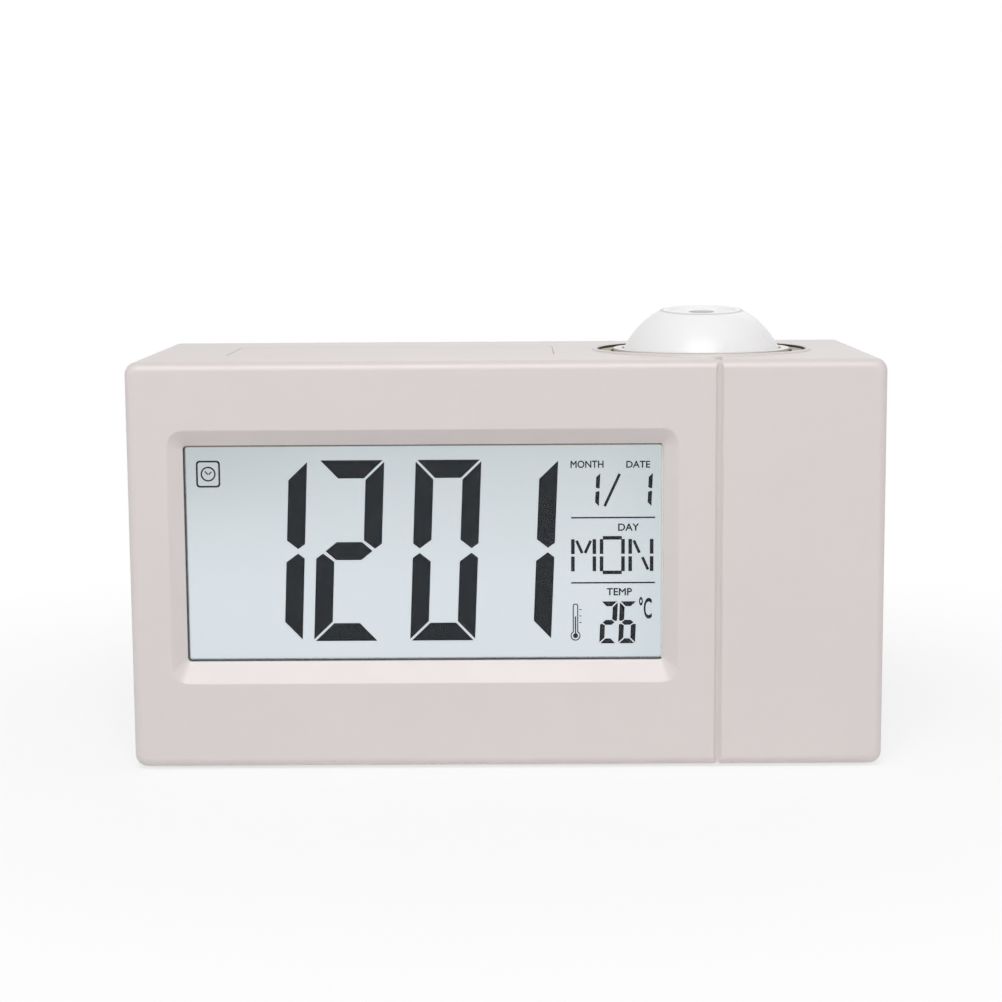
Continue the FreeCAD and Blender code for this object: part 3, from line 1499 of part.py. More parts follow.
button_names = ("mode_button", "set_button", "up_button", "down_button", "alarm_button", "light_button")

fixed_parts = {
    "housing": housing, "back_cover": back_cover, "case_screws": case_screws, "rubber_feet": rubber_feet,
    "window_lens": window_lens, "lcd_front_polariser": lcd_front_polariser,
    "lcd_front_glass": lcd_front_glass, "lcd_segments": lcd_segments, "lcd_rear_glass": lcd_rear_glass,
    "lcd_rear_polariser": lcd_rear_polariser, "light_guide": light_guide, "reflector_sheet": reflector_sheet,
    "zebra_strip": zebra_strip, "backlight_leds": backlight_leds, "lcd_frame": lcd_frame,
    "frame_screws": frame_screws, "main_board": main_board, "board_screws": board_screws,
    "driver_chip": driver_chip, "crystal": crystal, "capacitors": capacitors, "wire_sockets": wire_sockets,
    "snooze_switch": snooze_switch, "key_board": key_board, "key_switches": key_switches,
    "key_board_screws": key_board_screws, "ribbon_cable": ribbon_cable,
    "temperature_sensor": temperature_sensor, "buzzer": buzzer, "power_socket": power_socket,
    "projector_switch_body": projector_switch_body, "power_wires": power_wires,
    "projector_wires": projector_wires, "recess_ring": recess_ring,
    "ball_cradle": ball_cradle, "cradle_screws": cradle_screws, "pivot_washers": pivot_washers,
    "battery_cells": battery_cells, "contact_plates": contact_plates, "contact_springs": contact_springs,
    "lamp_board_screws": lamp_board_screws, "lamp_leads": lamp_leads,
    "snooze_bar": snooze_bar, "projector_switch_knob": projector_switch_knob, "battery_door": battery_door,
}

head_parts = {
    "ball_upper_shell": ball_upper_shell, "ball_lower_shell": ball_lower_shell, "lens_barrel": lens_barrel,
    "projector_lens": projector_lens, "projector_slide": projector_slide, "condenser_lens": condenser_lens,
    "lamp_housing": lamp_housing, "projector_lamp": projector_lamp, "lamp_board": lamp_board,
}


def save(name, shape):
    reach = shape.BoundBox
    limits = (reach.XMin, reach.XMax, reach.YMin, reach.YMax, reach.ZMin, reach.ZMax)
    print(name, len(shape.Solids), "valid" if shape.isValid() else "NOT VALID",
          [round(limit, 2) for limit in limits])
    shape.exportStep("parts/%s.step" % name)


for node, make in fixed_parts.items():
    save(node, make())
for node, make in head_parts.items():
    save(node, seat_head(make()))
for node, place in zip(button_names, button_spots()):
    save(node, rear_button(place))
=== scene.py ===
"""Looks, lights and camera of the projection alarm clock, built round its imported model."""

import logging
import math
from dataclasses import dataclass
from enum import Enum
from typing import Any, Optional, Sequence, Union

import bmesh
import bpy
from mathutils import Matrix, Vector


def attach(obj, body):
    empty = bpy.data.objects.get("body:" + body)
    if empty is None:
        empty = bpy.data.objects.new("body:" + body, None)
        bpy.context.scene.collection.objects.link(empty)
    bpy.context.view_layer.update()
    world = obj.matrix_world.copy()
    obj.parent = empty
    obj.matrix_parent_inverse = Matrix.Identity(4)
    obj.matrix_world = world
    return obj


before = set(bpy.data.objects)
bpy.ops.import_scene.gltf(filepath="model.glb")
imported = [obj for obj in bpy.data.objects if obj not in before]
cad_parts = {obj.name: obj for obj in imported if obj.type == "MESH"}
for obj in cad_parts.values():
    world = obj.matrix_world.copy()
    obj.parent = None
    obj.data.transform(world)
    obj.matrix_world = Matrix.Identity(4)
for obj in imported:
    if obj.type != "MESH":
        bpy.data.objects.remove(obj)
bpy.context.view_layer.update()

log = logging.getLogger("projection_clock")

MM = 0.001
HEAD_X = 40.8 * MM
HEAD_Y = -0.5 * MM
Colour = tuple[float, float, float]
Point = tuple[float, float, float]


def tone(red: int, green: int, blue: int) -> Colour:
    """Turns screen values from 0 to 255 into the linear colour that a shader takes.

    Args:
        red: Red on screen.
        green: Green on screen.
        blue: Blue on screen.

    Returns:
        The linear colour.
    """
    def linear(value: int) -> float:
        """One channel."""
        share = value / 255
        return share / 12.92 if share <= 0.04045 else ((share + 0.055) / 1.055) ** 2.4

    return linear(red), linear(green), linear(blue)


def shade(colour: Colour, factor: float, lift: float = 0.0) -> Colour:
    """Makes a colour darker or paler.

    Args:
        colour: The colour to start from.
        factor: What each channel is multiplied by.
        lift: What is then added to each channel.

    Returns:
        The changed colour.
    """
    red, green, blue = (part * factor + lift for part in colour)
    return red, green, blue


# Shader maths


class Signal:
    """A node's output socket that takes part in Python expressions."""

    def __init__(self, sheet: "Sheet", socket: Optional[bpy.types.NodeSocket]) -> None:
        """Wraps a socket of a sheet."""
        self.sheet = sheet
        self.socket = socket

    def _math(self, operation: str, *values: "Number") -> "Signal":
        """Adds one Math node on these values."""
        return self.sheet.add("ShaderNodeMath", {"operation": operation}, dict(enumerate(values)))

    def __add__(self, other: "Number") -> "Signal":
        """Sum."""
        return self._math("ADD", self, other)

    def __radd__(self, other: float) -> "Signal":
        """Sum with a plain number in front."""
        return self._math("ADD", other, self)

    def __sub__(self, other: "Number") -> "Signal":
        """Difference."""
        return self._math("SUBTRACT", self, other)

    def __rsub__(self, other: float) -> "Signal":
        """Plain number less this."""
        return self._math("SUBTRACT", other, self)

    def __mul__(self, other: "Number") -> "Signal":
        """Product."""
        return self._math("MULTIPLY", self, other)

    def __rmul__(self, other: float) -> "Signal":
        """Product with a plain number in front."""
        return self._math("MULTIPLY", other, self)

    def __truediv__(self, other: "Number") -> "Signal":
        """Quotient."""
        return self._math("DIVIDE", self, other)

    def __rtruediv__(self, other: float) -> "Signal":
        """Plain number over this."""
        return self._math("DIVIDE", other, self)

    def __pow__(self, other: "Number") -> "Signal":
        """Power."""
        return self._math("POWER", self, other)

    def __rpow__(self, other: float) -> "Signal":
        """Plain number to the power of this."""
        return self._math("POWER", other, self)

    def __abs__(self) -> "Signal":
        """Size without its sign."""
        return self._math("ABSOLUTE", self)

    def __gt__(self, other: "Number") -> "Signal":
        """1 where this is above the other, 0 elsewhere."""
        return self._math("GREATER_THAN", self, other)

    def __lt__(self, other: "Number") -> "Signal":
        """1 where this is below the other, 0 elsewhere."""
        return self._math("LESS_THAN", self, other)

    def at_least(self, other: "Number") -> "Signal":
        """The larger of the two."""
        return self._math("MAXIMUM", self, other)

    def at_most(self, other: "Number") -> "Signal":
        """The smaller of the two."""
        return self._math("MINIMUM", self, other)

    def ease(self, low: float, high: float) -> "Signal":
        """Rises smoothly from 0 at low to 1 at high.

        Args:
            low: Value that gives 0.
            high: Value that gives 1.

        Returns:
            The eased share.
        """
        return self.sheet.add("ShaderNodeMapRange", {"interpolation_type": "SMOOTHSTEP"},
                              {"Value": self, "From Min": low, "From Max": high})


Number = Union[Signal, float]


class Sheet:
    """The node sheet of one material or of the world."""

    def __init__(self, tree: bpy.types.NodeTree) -> None:
        """Starts an empty sheet on a node tree."""
        self.tree = tree
        tree.nodes.clear()

    def add(self, kind: str, settings: Optional[dict[str, Any]] = None,
            inputs: Optional[dict[Union[int, str], Any]] = None, output: Union[int, str] = 0) -> Signal:
        """Adds any node.

        Args:
            kind: The node's type.
            settings: Properties that are set first; "stops" holds a ramp's stops.
            inputs: Values or signals for sockets, by number, identifier or name.
            output: The socket that is wanted, by number or name.

        Returns:
            That output socket as a signal.
        """
        node = self.tree.nodes.new(kind)
        for key, value in (settings or {}).items():
            if key == "stops":
                self._set_stops(node.color_ramp, value)
            else:
                setattr(node, key, value)
        for key, value in (inputs or {}).items():
            socket = self._socket(node.inputs, key)
            if isinstance(value, Signal):
                self.tree.links.new(value.socket, socket)
            elif isinstance(value, tuple) and socket.type == "RGBA":
                socket.default_value = (*value, 1.0)
            else:
                socket.default_value = value
        if not node.outputs:
            return Signal(self, None)
        return Signal(self, self._socket(node.outputs, output))

    @staticmethod
    def _set_stops(ramp: bpy.types.ColorRamp, stops: Sequence[tuple[float, Colour]]) -> None:
        """Gives a ramp its stops.

        Args:
            ramp: The ramp.
            stops: Place from 0 to 1 and colour of each stop.
        """
        while len(ramp.elements) < len(stops):
            ramp.elements.new(1.0)
        for element, (place, colour) in zip(ramp.elements, stops):
            element.position = place
            element.color = (*colour, 1.0)

    @staticmethod
    def _socket(sockets: Any, key: Union[int, str]) -> bpy.types.NodeSocket:
        """Finds a socket.

        Args:
            sockets: A node's inputs or outputs.
            key: Number, identifier or name of the socket.

        Returns:
            The socket.
        """
        if isinstance(key, int):
            return sockets[key]
        for socket in sockets:
            if socket.identifier == key:
                return socket
        return next(socket for socket in sockets if socket.enabled and socket.name == key)

    def place(self) -> Signal:
        """Position on the object at rest, in metres."""
        return self.add("ShaderNodeTexCoord", output="Object")

    def parts(self, vector: Signal) -> tuple[Signal, Signal, Signal]:
        """Splits a vector.

        Args:
            vector: The vector.

        Returns:
            Its three parts.
        """
        whole = self.add("ShaderNodeSeparateXYZ", inputs={0: vector})
        sockets = whole.socket.node.outputs
        return Signal(self, sockets[0]), Signal(self, sockets[1]), Signal(self, sockets[2])

    def from_axis(self, place: Signal, x: float, y: float) -> Signal:
        """Distance from an upright axis.

        Args:
            place: Where it is measured.
            x: The axis' X.
            y: The axis' Y.

        Returns:
            The distance, in metres.
        """
        across, along, _ = self.parts(place)
        return ((across - x) ** 2.0 + (along - y) ** 2.0) ** 0.5

    def noise(self, vector: Signal, scale: float, detail: float = 2.0, roughness: float = 0.5) -> Signal:
        """Soft noise from 0 to 1.

        Args:
            vector: Where it is looked up.
            scale: Number of blobs to a metre.
            detail: Octaves.
            roughness: Weight of the finer octaves.

        Returns:
            The noise.
        """
        return self.add("ShaderNodeTexNoise", inputs={
            "Vector": vector, "Scale": scale, "Detail": detail, "Roughness": roughness})

    def stretch(self, vector: Signal, factors: Point) -> Signal:
        """Multiplies a vector part by part."""
        return self.add("ShaderNodeVectorMath", {"operation": "MULTIPLY"}, {0: vector, 1: factors})

    def blend(self, first: Union[Signal, Colour], second: Union[Signal, Colour], share: Number) -> Signal:
        """Mixes two colours.

        Args:
            first: Colour at share 0.
            second: Colour at share 1.
            share: How much of the second.

        Returns:
            The mixed colour.
        """
        return self.add("ShaderNodeMix", {"data_type": "RGBA"},
                        {"Factor_Float": share, "A_Color": first, "B_Color": second}, "Result_Color")

    def edges(self, radius: float) -> Signal:
        """Share from 0 on flat faces to 1 on sharp edges.

        Args:
            radius: Reach of the edge, in metres.

        Returns:
            The share.
        """
        rounded = self.add("ShaderNodeBevel", {"samples": 4}, {"Radius": radius})
        flat = self.add("ShaderNodeNewGeometry", output="Normal")
        match = self.add("ShaderNodeVectorMath", {"operation": "DOT_PRODUCT"}, {0: rounded, 1: flat}, "Value")
        return (1.0 - match).ease(0.02, 0.3)

    def relief(self, height: Signal, depth: float, strength: float = 1.0) -> Signal:
        """Surface normal from a height.

        Args:
            height: Height from 0 to 1.
            depth: Metres between height 0 and 1.
            strength: Share of the effect.

        Returns:
            The normal.
        """
        return self.add("ShaderNodeBump", inputs={"Strength": strength, "Distance": depth, "Height": height})

    def surface(self, **inputs: Any) -> Signal:
        """Principled surface.

        Args:
            **inputs: Values or signals by the sockets' names, with underscores for spaces.

        Returns:
            The shader.
        """
        longer = {"Specular": "Specular IOR Level"}
        named = {longer.get(key, key.replace("_", " ")): value for key, value in inputs.items()}
        return self.add("ShaderNodeBsdfPrincipled", inputs=named)

    def finish(self, shader: Signal) -> None:
        """Sends a shader to the material's output."""
        self.add("ShaderNodeOutputMaterial", inputs={"Surface": shader})


# Finishes


class Grain(Enum):
    """Mould texture: blobs to a metre and their depth in metres."""

    SATIN = (2600.0, 0.000012)
    FINE = (3800.0, 0.000006)


@dataclass(frozen=True)
class Finish:
    """A named finish; each kind says how it is painted."""

    name: str

    def paint(self, sheet: Sheet) -> Signal:
        """Builds the shader.

        Args:
            sheet: The material's node sheet.

        Returns:
            The shader.
        """
        raise NotImplementedError

    def material(self) -> bpy.types.Material:
        """Makes the finish's material, or finds it if it was made before.

        Returns:
            The material.
        """
        made = bpy.data.materials.get(self.name)
        if made is None:
            made = bpy.data.materials.new(self.name)
            made.use_nodes = True
            sheet = Sheet(made.node_tree)
            sheet.finish(self.paint(sheet))
        return made


@dataclass(frozen=True)
class MouldedPlastic(Finish):
    """Opaque moulded plastic with a fine grain, faint flow marks and polished edges, painted a little paler:
    partly wear, partly painted highlight.
    """

    colour: Colour
    roughness: float = 0.42
    grain: Grain = Grain.SATIN
    variation: float = 0.035
    specular: float = 0.4
    edge_polish_and_highlight: float = 0.05
    edge_reach: float = 0.5 * MM
    edge_gain: float = 1.04

    def paint(self, sheet: Sheet) -> Signal:
        """Builds the shader.

        Args:
            sheet: The material's node sheet.

        Returns:
            The shader.
        """
        place = sheet.place()
        flow = sheet.noise(sheet.stretch(place, (1.0, 1.0, 2.2)), 22.0, 3.0)
        cloud = sheet.noise(place, 140.0, 4.0, 0.6)
        blobs, depth = self.grain.value
        pits = sheet.noise(place, blobs, 1.5, 0.55)
        edge = sheet.edges(self.edge_reach)
        low, high = shade(self.colour, 1 - self.variation), shade(self.colour, 1 + self.variation * 0.5)
        body = sheet.blend(low, high, flow * 0.6 + cloud * 0.4)
        # Paler edges: partly polish wear, partly painted highlight.
        worn_and_highlit = shade(self.colour, self.edge_gain)
        colour = self.tint(sheet, place, sheet.blend(body, worn_and_highlit, edge * self.edge_polish_and_highlight * 6))
        rough = self.roughness + (cloud - 0.5) * 0.16 + (pits - 0.5) * 0.05 - edge * self.edge_polish_and_highlight
        return sheet.surface(Base_Color=colour, Roughness=rough, Specular=self.specular,
                             Normal=sheet.relief(pits, depth))

    def tint(self, sheet: Sheet, place: Signal, body: Signal) -> Signal:
        """Leaves the colour as it is; kinds with marks change it."""
        return body


@dataclass(frozen=True)
class BallPlastic(MouldedPlastic):
    """Polished plastic of the ball, with a grey ring of painted shade just below the edge of its flat top,
    shifted toward the front.
    """

    line_shade_colour: Colour = (0.36, 0.36, 0.35)
    line_inner: float = 8.1 * MM
    line_outer: float = 8.85 * MM
    line_shift: float = -0.9 * MM
    line_blur: float = 0.3 * MM
    line_shade_share: float = 0.6
    level: float = 88.0 * MM

    def tint(self, sheet: Sheet, place: Signal, body: Signal) -> Signal:
        """Paints the grey ring of shade.

        Args:
            sheet: The material's node sheet.
            place: Position on the ball.
            body: Colour of the plain plastic.

        Returns:
            The colour with the line.
        """
        reach = sheet.from_axis(place, HEAD_X, HEAD_Y + self.line_shift)
        inside = reach.ease(self.line_inner - self.line_blur, self.line_inner)
        outside = reach.ease(self.line_outer - self.line_blur, self.line_outer)
        # Painted shade: a grey ring under the flat top's edge, offset toward the front.
        line = inside * (1.0 - outside) * (sheet.parts(place)[2] > self.level)
        return sheet.blend(body, self.line_shade_colour, line * self.line_shade_share)


@dataclass(frozen=True)
class RingPlastic(MouldedPlastic):
    """Plastic of the recess ring: pale collar next to the ball, and a ledge round it darkened with painted
    shade.
    """

    ledge_shade_colour: Colour = (0.44, 0.40, 0.30)
    ledge_start: float = 18.6 * MM
    ledge_blur: float = 0.3 * MM

    def tint(self, sheet: Sheet, place: Signal, body: Signal) -> Signal:
        """Paints shade on the ledge.

        Args:
            sheet: The material's node sheet.
            place: Position on the ring.
            body: Colour of the plain plastic.

        Returns:
            The colour with the ledge.
        """
        reach = sheet.from_axis(place, HEAD_X, HEAD_Y)
        # Painted shade on the ledge, down in the recess.
        ledge = reach.ease(self.ledge_start, self.ledge_start + self.ledge_blur)
        return sheet.blend(body, self.ledge_shade_colour, ledge)


@dataclass(frozen=True)
class ClearPane(Finish):
    """Thin clear layer that lets the display show through."""

    colour: Colour
    alpha: float
    roughness: float = 0.06

    def paint(self, sheet: Sheet) -> Signal:
        """Builds the shader.

        Args:
            sheet: The material's node sheet.

        Returns:
            The shader.
        """
        smear = sheet.noise(sheet.place(), 60.0, 3.0)
        return sheet.surface(Base_Color=self.colour, Roughness=self.roughness + smear * 0.05,
                             Alpha=self.alpha, Specular=0.5)


@dataclass(frozen=True)
class WindowFinish(Finish):
    """Finish laid out over the rectangle of the display's window, in metres."""

    left: float
    right: float
    low: float
    high: float


@dataclass(frozen=True)
class WindowPane(WindowFinish):
    """The display's clear front, with painted shade along the left, bottom and top of its edge, where it
    sits, and a painted highlight along the right.
    """

    corner: float = 0.8 * MM
    line: float = 0.36 * MM
    alpha: float = 0.04
    clear: Colour = tone(150, 156, 160)
    shaded_line: Colour = tone(48, 48, 52)
    right_highlight_line: Colour = tone(222, 221, 210)
    top_shade_line: Colour = tone(120, 112, 100)

    def paint(self, sheet: Sheet) -> Signal:
        """Builds the shader.

        Args:
            sheet: The material's node sheet.

        Returns:
            The shader.
        """
        place = sheet.place()
        x, _, z = sheet.parts(place)
        across, up = x - (self.left + self.right) / 2, z - (self.low + self.high) / 2
        reach_x = abs(across) - ((self.right - self.left) / 2 - self.corner)
        reach_z = abs(up) - ((self.high - self.low) / 2 - self.corner)
        outside = (reach_x.at_least(0.0) ** 2.0 + reach_z.at_least(0.0) ** 2.0) ** 0.5
        edge_gap = outside + reach_x.at_least(reach_z).at_most(0.0) - self.corner
        # Painted shade and highlight in a thin band just inside the window's edge.
        seat_light_and_shade = edge_gap.ease(-self.line * 1.25, -self.line * 0.75)
        to_right = across.ease(0.0, 1 * MM) * (reach_x > reach_z)
        to_top = up.ease(0.0, 1 * MM) * (reach_z > reach_x)
        # Painted shade on the left, bottom and top; painted highlight on the right.
        colour = sheet.blend(self.shaded_line, self.right_highlight_line, to_right)
        colour = sheet.blend(colour, self.top_shade_line, to_top)
        smear = sheet.noise(place, 45.0, 3.0)
        return sheet.surface(Base_Color=sheet.blend(self.clear, colour, seat_light_and_shade),
                             Roughness=0.07 + smear * 0.06,
                             Alpha=seat_light_and_shade * 0.9 + self.alpha, Specular=0.5)


@dataclass(frozen=True)
class DisplayGround(WindowFinish):
    """The display's pale, backlit ground, whose glow is mostly painted light, with painted shade: cooler and
    darker at its top and brighter low down.
    """

    painted_glow: float = 0.93
    corner_shade: Colour = tone(190, 199, 201)
    side_shade: Colour = tone(198, 211, 213)
    bright: Colour = tone(232, 238, 242)

    def paint(self, sheet: Sheet) -> Signal:
        """Builds the shader.

        Args:
            sheet: The material's node sheet.

        Returns:
            The shader.
        """
        place = sheet.place()
        x, _, z = sheet.parts(place)
        rise = (z - self.low) / (self.high - self.low)
        run = (x - self.left) / (self.right - self.left)
        # Painted shade: darker and cooler towards the top, brighter low down.
        height_shade = sheet.add("ShaderNodeValToRGB", {"stops": (
            (0.0, tone(229, 237, 243)), (0.35, tone(229, 237, 242)), (0.7, tone(220, 228, 232)),
            (1.0, tone(208, 216, 219)))}, {"Fac": rise})
        # Painted shade in the upper left corner and along the right side.
        corner = (1.0 - run).ease(0.6, 1.0) * rise.ease(0.55, 1.0)
        shaded = sheet.blend(height_shade, self.corner_shade, corner * 0.5)
        shaded = sheet.blend(shaded, self.side_shade, run.ease(0.85, 1.0) * 0.35)
        weave = sheet.noise(place, 5200.0, 1.0)
        cloud = sheet.noise(place, 55.0, 2.0)
        colour = sheet.blend(shaded, self.bright, cloud * 0.12)
        # The glow gives the ground the colour it has when lit: mostly painted light, partly the backlight.
        return sheet.surface(Base_Color=colour, Roughness=0.5 + (weave - 0.5) * 0.2, Specular=0.2,
                             Emission_Color=colour, Emission_Strength=self.painted_glow,
                             Normal=sheet.relief(weave, 0.000004))


@dataclass(frozen=True)
class SegmentInk(Finish):
    """Dark liquid-crystal segments with a blue cast."""

    colour: Colour

    def paint(self, sheet: Sheet) -> Signal:
        """Builds the shader.

        Args:
            sheet: The material's node sheet.

        Returns:
            The shader.
        """
        drift = sheet.noise(sheet.place(), 70.0, 3.0)
        paler = shade(self.colour, 1.5)
        return sheet.surface(Base_Color=sheet.blend(self.colour, paler, drift), Roughness=0.35 + drift * 0.1,
                             Specular=0.15)


@dataclass(frozen=True)
class Glass(Finish):
    """Solid glass of a small lens, with painted shade: dark so that it reads as depth."""

    colour: Colour
    coat: float = 0.8
    specular: float = 0.7

    def paint(self, sheet: Sheet) -> Signal:
        """Builds the shader.

        Args:
            sheet: The material's node sheet.

        Returns:
            The shader.
        """
        dust = sheet.noise(sheet.place(), 900.0, 3.0)
        deep = shade(self.colour, 0.5)
        return sheet.surface(Base_Color=sheet.blend(deep, self.colour, dust), Roughness=0.05 + dust * 0.05,
                             Specular=self.specular, Coat_Weight=self.coat, Coat_Roughness=0.03)


@dataclass(frozen=True)
class Metal(Finish):
    """Plated metal with fine drawn lines and a little tarnish."""

    colour: Colour
    roughness: float = 0.3
    lines: Point = (1.0, 1.0, 12.0)

    def paint(self, sheet: Sheet) -> Signal:
        """Builds the shader.

        Args:
            sheet: The material's node sheet.

        Returns:
            The shader.
        """
        place = sheet.place()
        drawn = sheet.noise(sheet.stretch(place, self.lines), 600.0, 3.0)
        tarnish = sheet.noise(place, 260.0, 4.0, 0.65)
        dull = shade(self.colour, 0.72)
        return sheet.surface(Base_Color=sheet.blend(self.colour, dull, tarnish * 0.7), Metallic=1.0,
                             Roughness=self.roughness + (drawn - 0.5) * 0.2 + tarnish * 0.08,
                             Normal=sheet.relief(drawn, 0.000008))


@dataclass(frozen=True)
class Rubber(Finish):
    """Matt rubber with dust in its pores."""

    colour: Colour
    roughness: float = 0.8

    def paint(self, sheet: Sheet) -> Signal:
        """Builds the shader.

        Args:
            sheet: The material's node sheet.

        Returns:
            The shader.
        """
        place = sheet.place()
        dust = sheet.noise(place, 420.0, 4.0, 0.6)
        pores = sheet.noise(place, 3200.0, 1.0)
        paler = shade(self.colour, 1.6, 0.01)
        return sheet.surface(Base_Color=sheet.blend(self.colour, paler, dust * 0.6),
                             Roughness=self.roughness + (dust - 0.5) * 0.15, Specular=0.25,
                             Normal=sheet.relief(pores, 0.00002))


@dataclass(frozen=True)
class Felt(Finish):
    """Pressed felt with short fibres in all directions."""

    colour: Colour

    def paint(self, sheet: Sheet) -> Signal:
        """Builds the shader.

        Args:
            sheet: The material's node sheet.

        Returns:
            The shader.
        """
        place = sheet.place()
        fibres = sheet.noise(sheet.stretch(place, (1.0, 5.0, 1.0)), 2600.0, 4.0, 0.7)
        clumps = sheet.noise(place, 500.0, 2.0)
        deep = shade(self.colour, 0.6)
        return sheet.surface(Base_Color=sheet.blend(deep, self.colour, fibres * 0.7 + clumps * 0.3),
                             Roughness=0.95, Specular=0.1, Sheen_Weight=0.4,
                             Normal=sheet.relief(fibres, 0.00012))


@dataclass(frozen=True)
class BoardMask(Finish):
    """Circuit board: solder mask over copper runs, with plated pads."""

    colour: Colour
    run_colour: Colour
    pad_colour: Colour = tone(196, 190, 170)

    def paint(self, sheet: Sheet) -> Signal:
        """Builds the shader.

        Args:
            sheet: The material's node sheet.

        Returns:
            The shader.
        """
        place = sheet.place()
        runs = sheet.add("ShaderNodeTexVoronoi", {"distance": "MANHATTAN", "feature": "DISTANCE_TO_EDGE"},
                         {"Vector": place, "Scale": 230.0, "Randomness": 0.6})
        copper = 1.0 - runs.ease(0.05, 0.09)
        pads = sheet.add("ShaderNodeTexVoronoi", {}, {"Vector": place, "Scale": 330.0, "Randomness": 0.25})
        tin = 1.0 - pads.ease(0.13, 0.17)
        fabric = sheet.noise(place, 2400.0, 2.0)
        colour = sheet.blend(sheet.blend(self.colour, self.run_colour, copper), self.pad_colour, tin)
        return sheet.surface(Base_Color=colour, Roughness=0.38 + (fabric - 0.5) * 0.15 - tin * 0.08,
                             Metallic=tin * 0.8, Specular=0.4,
                             Normal=sheet.relief(copper * 0.6 + fabric * 0.1 + tin * 0.3, 0.00003))


@dataclass(frozen=True)
class CellSleeve(Finish):
    """Printed shrink sleeve of a cell: a pale band round its middle, and steel at its ends."""

    colour: Colour
    band: Colour
    left: float
    right: float
    steel: Colour = tone(190, 188, 182)

    def paint(self, sheet: Sheet) -> Signal:
        """Builds the shader.

        Args:
            sheet: The material's node sheet.

        Returns:
            The shader.
        """
        place = sheet.place()
        x, _, _ = sheet.parts(place)
        run = (x - self.left) / (self.right - self.left)
        ends = ((run < 0.06) + (run > 0.94)).at_most(1.0)
        print_band = (run > 0.32) * (run < 0.68)
        ink = sheet.noise(place, 300.0, 3.0)
        sleeve = sheet.blend(self.colour, self.band, print_band)
        colour = sheet.blend(sleeve, self.steel, ends)
        return sheet.surface(Base_Color=colour, Metallic=ends * 0.9,
                             Roughness=0.3 + ink * 0.12, Specular=0.5, Normal=sheet.relief(ink, 0.00001))


@dataclass(frozen=True)
class Ink(Finish):
    """Screen-printed ink with slight thin spots."""

    colour: Colour

    def paint(self, sheet: Sheet) -> Signal:
        """Builds the shader.

        Args:
            sheet: The material's node sheet.

        Returns:
            The shader.
        """
        spots = sheet.noise(sheet.place(), 4200.0, 2.0)
        paler = shade(self.colour, 1.3, 0.02)
        return sheet.surface(Base_Color=sheet.blend(self.colour, paler, spots.ease(0.55, 0.8)),
                             Roughness=0.5 + spots * 0.1, Specular=0.3)


WARM_WHITE = tone(216, 208, 206)
CASE = MouldedPlastic("case_plastic_moulded", WARM_WHITE, 0.38, specular=0.55)
SNOOZE = MouldedPlastic("snooze_plastic_moulded", tone(217, 209, 207), 0.4, specular=0.5)
BUTTON = MouldedPlastic("button_plastic_moulded", tone(206, 200, 199), 0.46)
KNOB = MouldedPlastic("knob_plastic_moulded", tone(190, 184, 184), 0.42)
BALL = BallPlastic("ball_plastic_polished", tone(245, 244, 245), 0.3, Grain.FINE, 0.015, 0.45, 0.0)
RING = RingPlastic("ring_plastic_moulded", tone(236, 232, 228), 0.48)
# Painted shade: black for the rings in the recess's gaps.
RECESS_SHADE = Rubber("recess_shade_black", tone(44, 40, 34), 0.7)
BLACK = MouldedPlastic("black_plastic_moulded", tone(30, 30, 32), 0.5, Grain.SATIN, 0.2)
FRAME = MouldedPlastic("frame_plastic_moulded", tone(225, 225, 222), 0.5)
HEADER = MouldedPlastic("header_plastic_moulded", tone(232, 228, 214), 0.45)
# Painted shade: the lens is dark so that it reads as depth.
LENS_GLASS = Glass("lens_glass_coated", tone(44, 40, 38), 0.15, 0.25)
SLIDE_GLASS = Glass("slide_glass_clear", tone(90, 96, 104))
POLARISER = ClearPane("polariser_film_clear", tone(120, 126, 122), 0.02)
FRONT_GLASS = ClearPane("display_glass_clear", tone(140, 150, 150), 0.015)
DISPLAY_BACK = Rubber("display_back_grey", tone(150, 156, 150), 0.5)
SEGMENT_INK = SegmentInk("segment_ink_dark", tone(14, 20, 40))
LIGHT_GUIDE = Rubber("light_guide_milky", tone(226, 230, 232), 0.3)
REFLECTOR = Metal("reflector_sheet_bright", tone(226, 228, 230), 0.25)
CONTACT_RUBBER = Rubber("contact_rubber_striped", tone(60, 60, 62), 0.7)
LAMP_RESIN = Glass("lamp_resin_clear", tone(236, 236, 226), 0.4)
BOARD = BoardMask("board_mask_green", tone(38, 84, 52), tone(58, 112, 64))
CHIP_RESIN = Rubber("chip_resin_black", tone(22, 22, 24), 0.35)
CAN_METAL = Metal("can_metal_bright", tone(200, 202, 206), 0.28)
SCREW_STEEL = Metal("screw_steel_zinc", tone(178, 180, 186), 0.34, (1.0, 1.0, 1.0))
WIRE_COVER = Rubber("wire_cover_black", tone(36, 34, 36), 0.45)
FELT = Felt("felt_grey", tone(120, 114, 108))
CONTACT_METAL = Metal("contact_metal_nickel", tone(206, 202, 192), 0.3)
FOOT_RUBBER = Rubber("foot_rubber_grey", tone(120, 118, 116))
LABEL_INK = Ink("label_ink_grey", tone(112, 108, 108))


# Mesh helpers


class Side(Enum):
    """The way that a flat piece faces: sign of Y, and the direction in X that it reads in."""

    FRONT = (-1.0, 1.0)
    BACK = (1.0, -1.0)


def add_piece(name: str, mesh: bpy.types.Mesh, finish: Finish, body: str) -> bpy.types.Object:
    """Puts a mesh into the scene as a piece of the clock.

    Args:
        name: The piece's name.
        mesh: Its mesh, in metres in the row frame.
        finish: Its finish.
        body: The body that it moves with.

    Returns:
        The piece.
    """
    piece = bpy.data.objects.new(name, mesh)
    bpy.context.scene.collection.objects.link(piece)
    mesh.materials.clear()
    mesh.materials.append(finish.material())
    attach(piece, body)
    log.info("built %s on %s", name, body)
    return piece


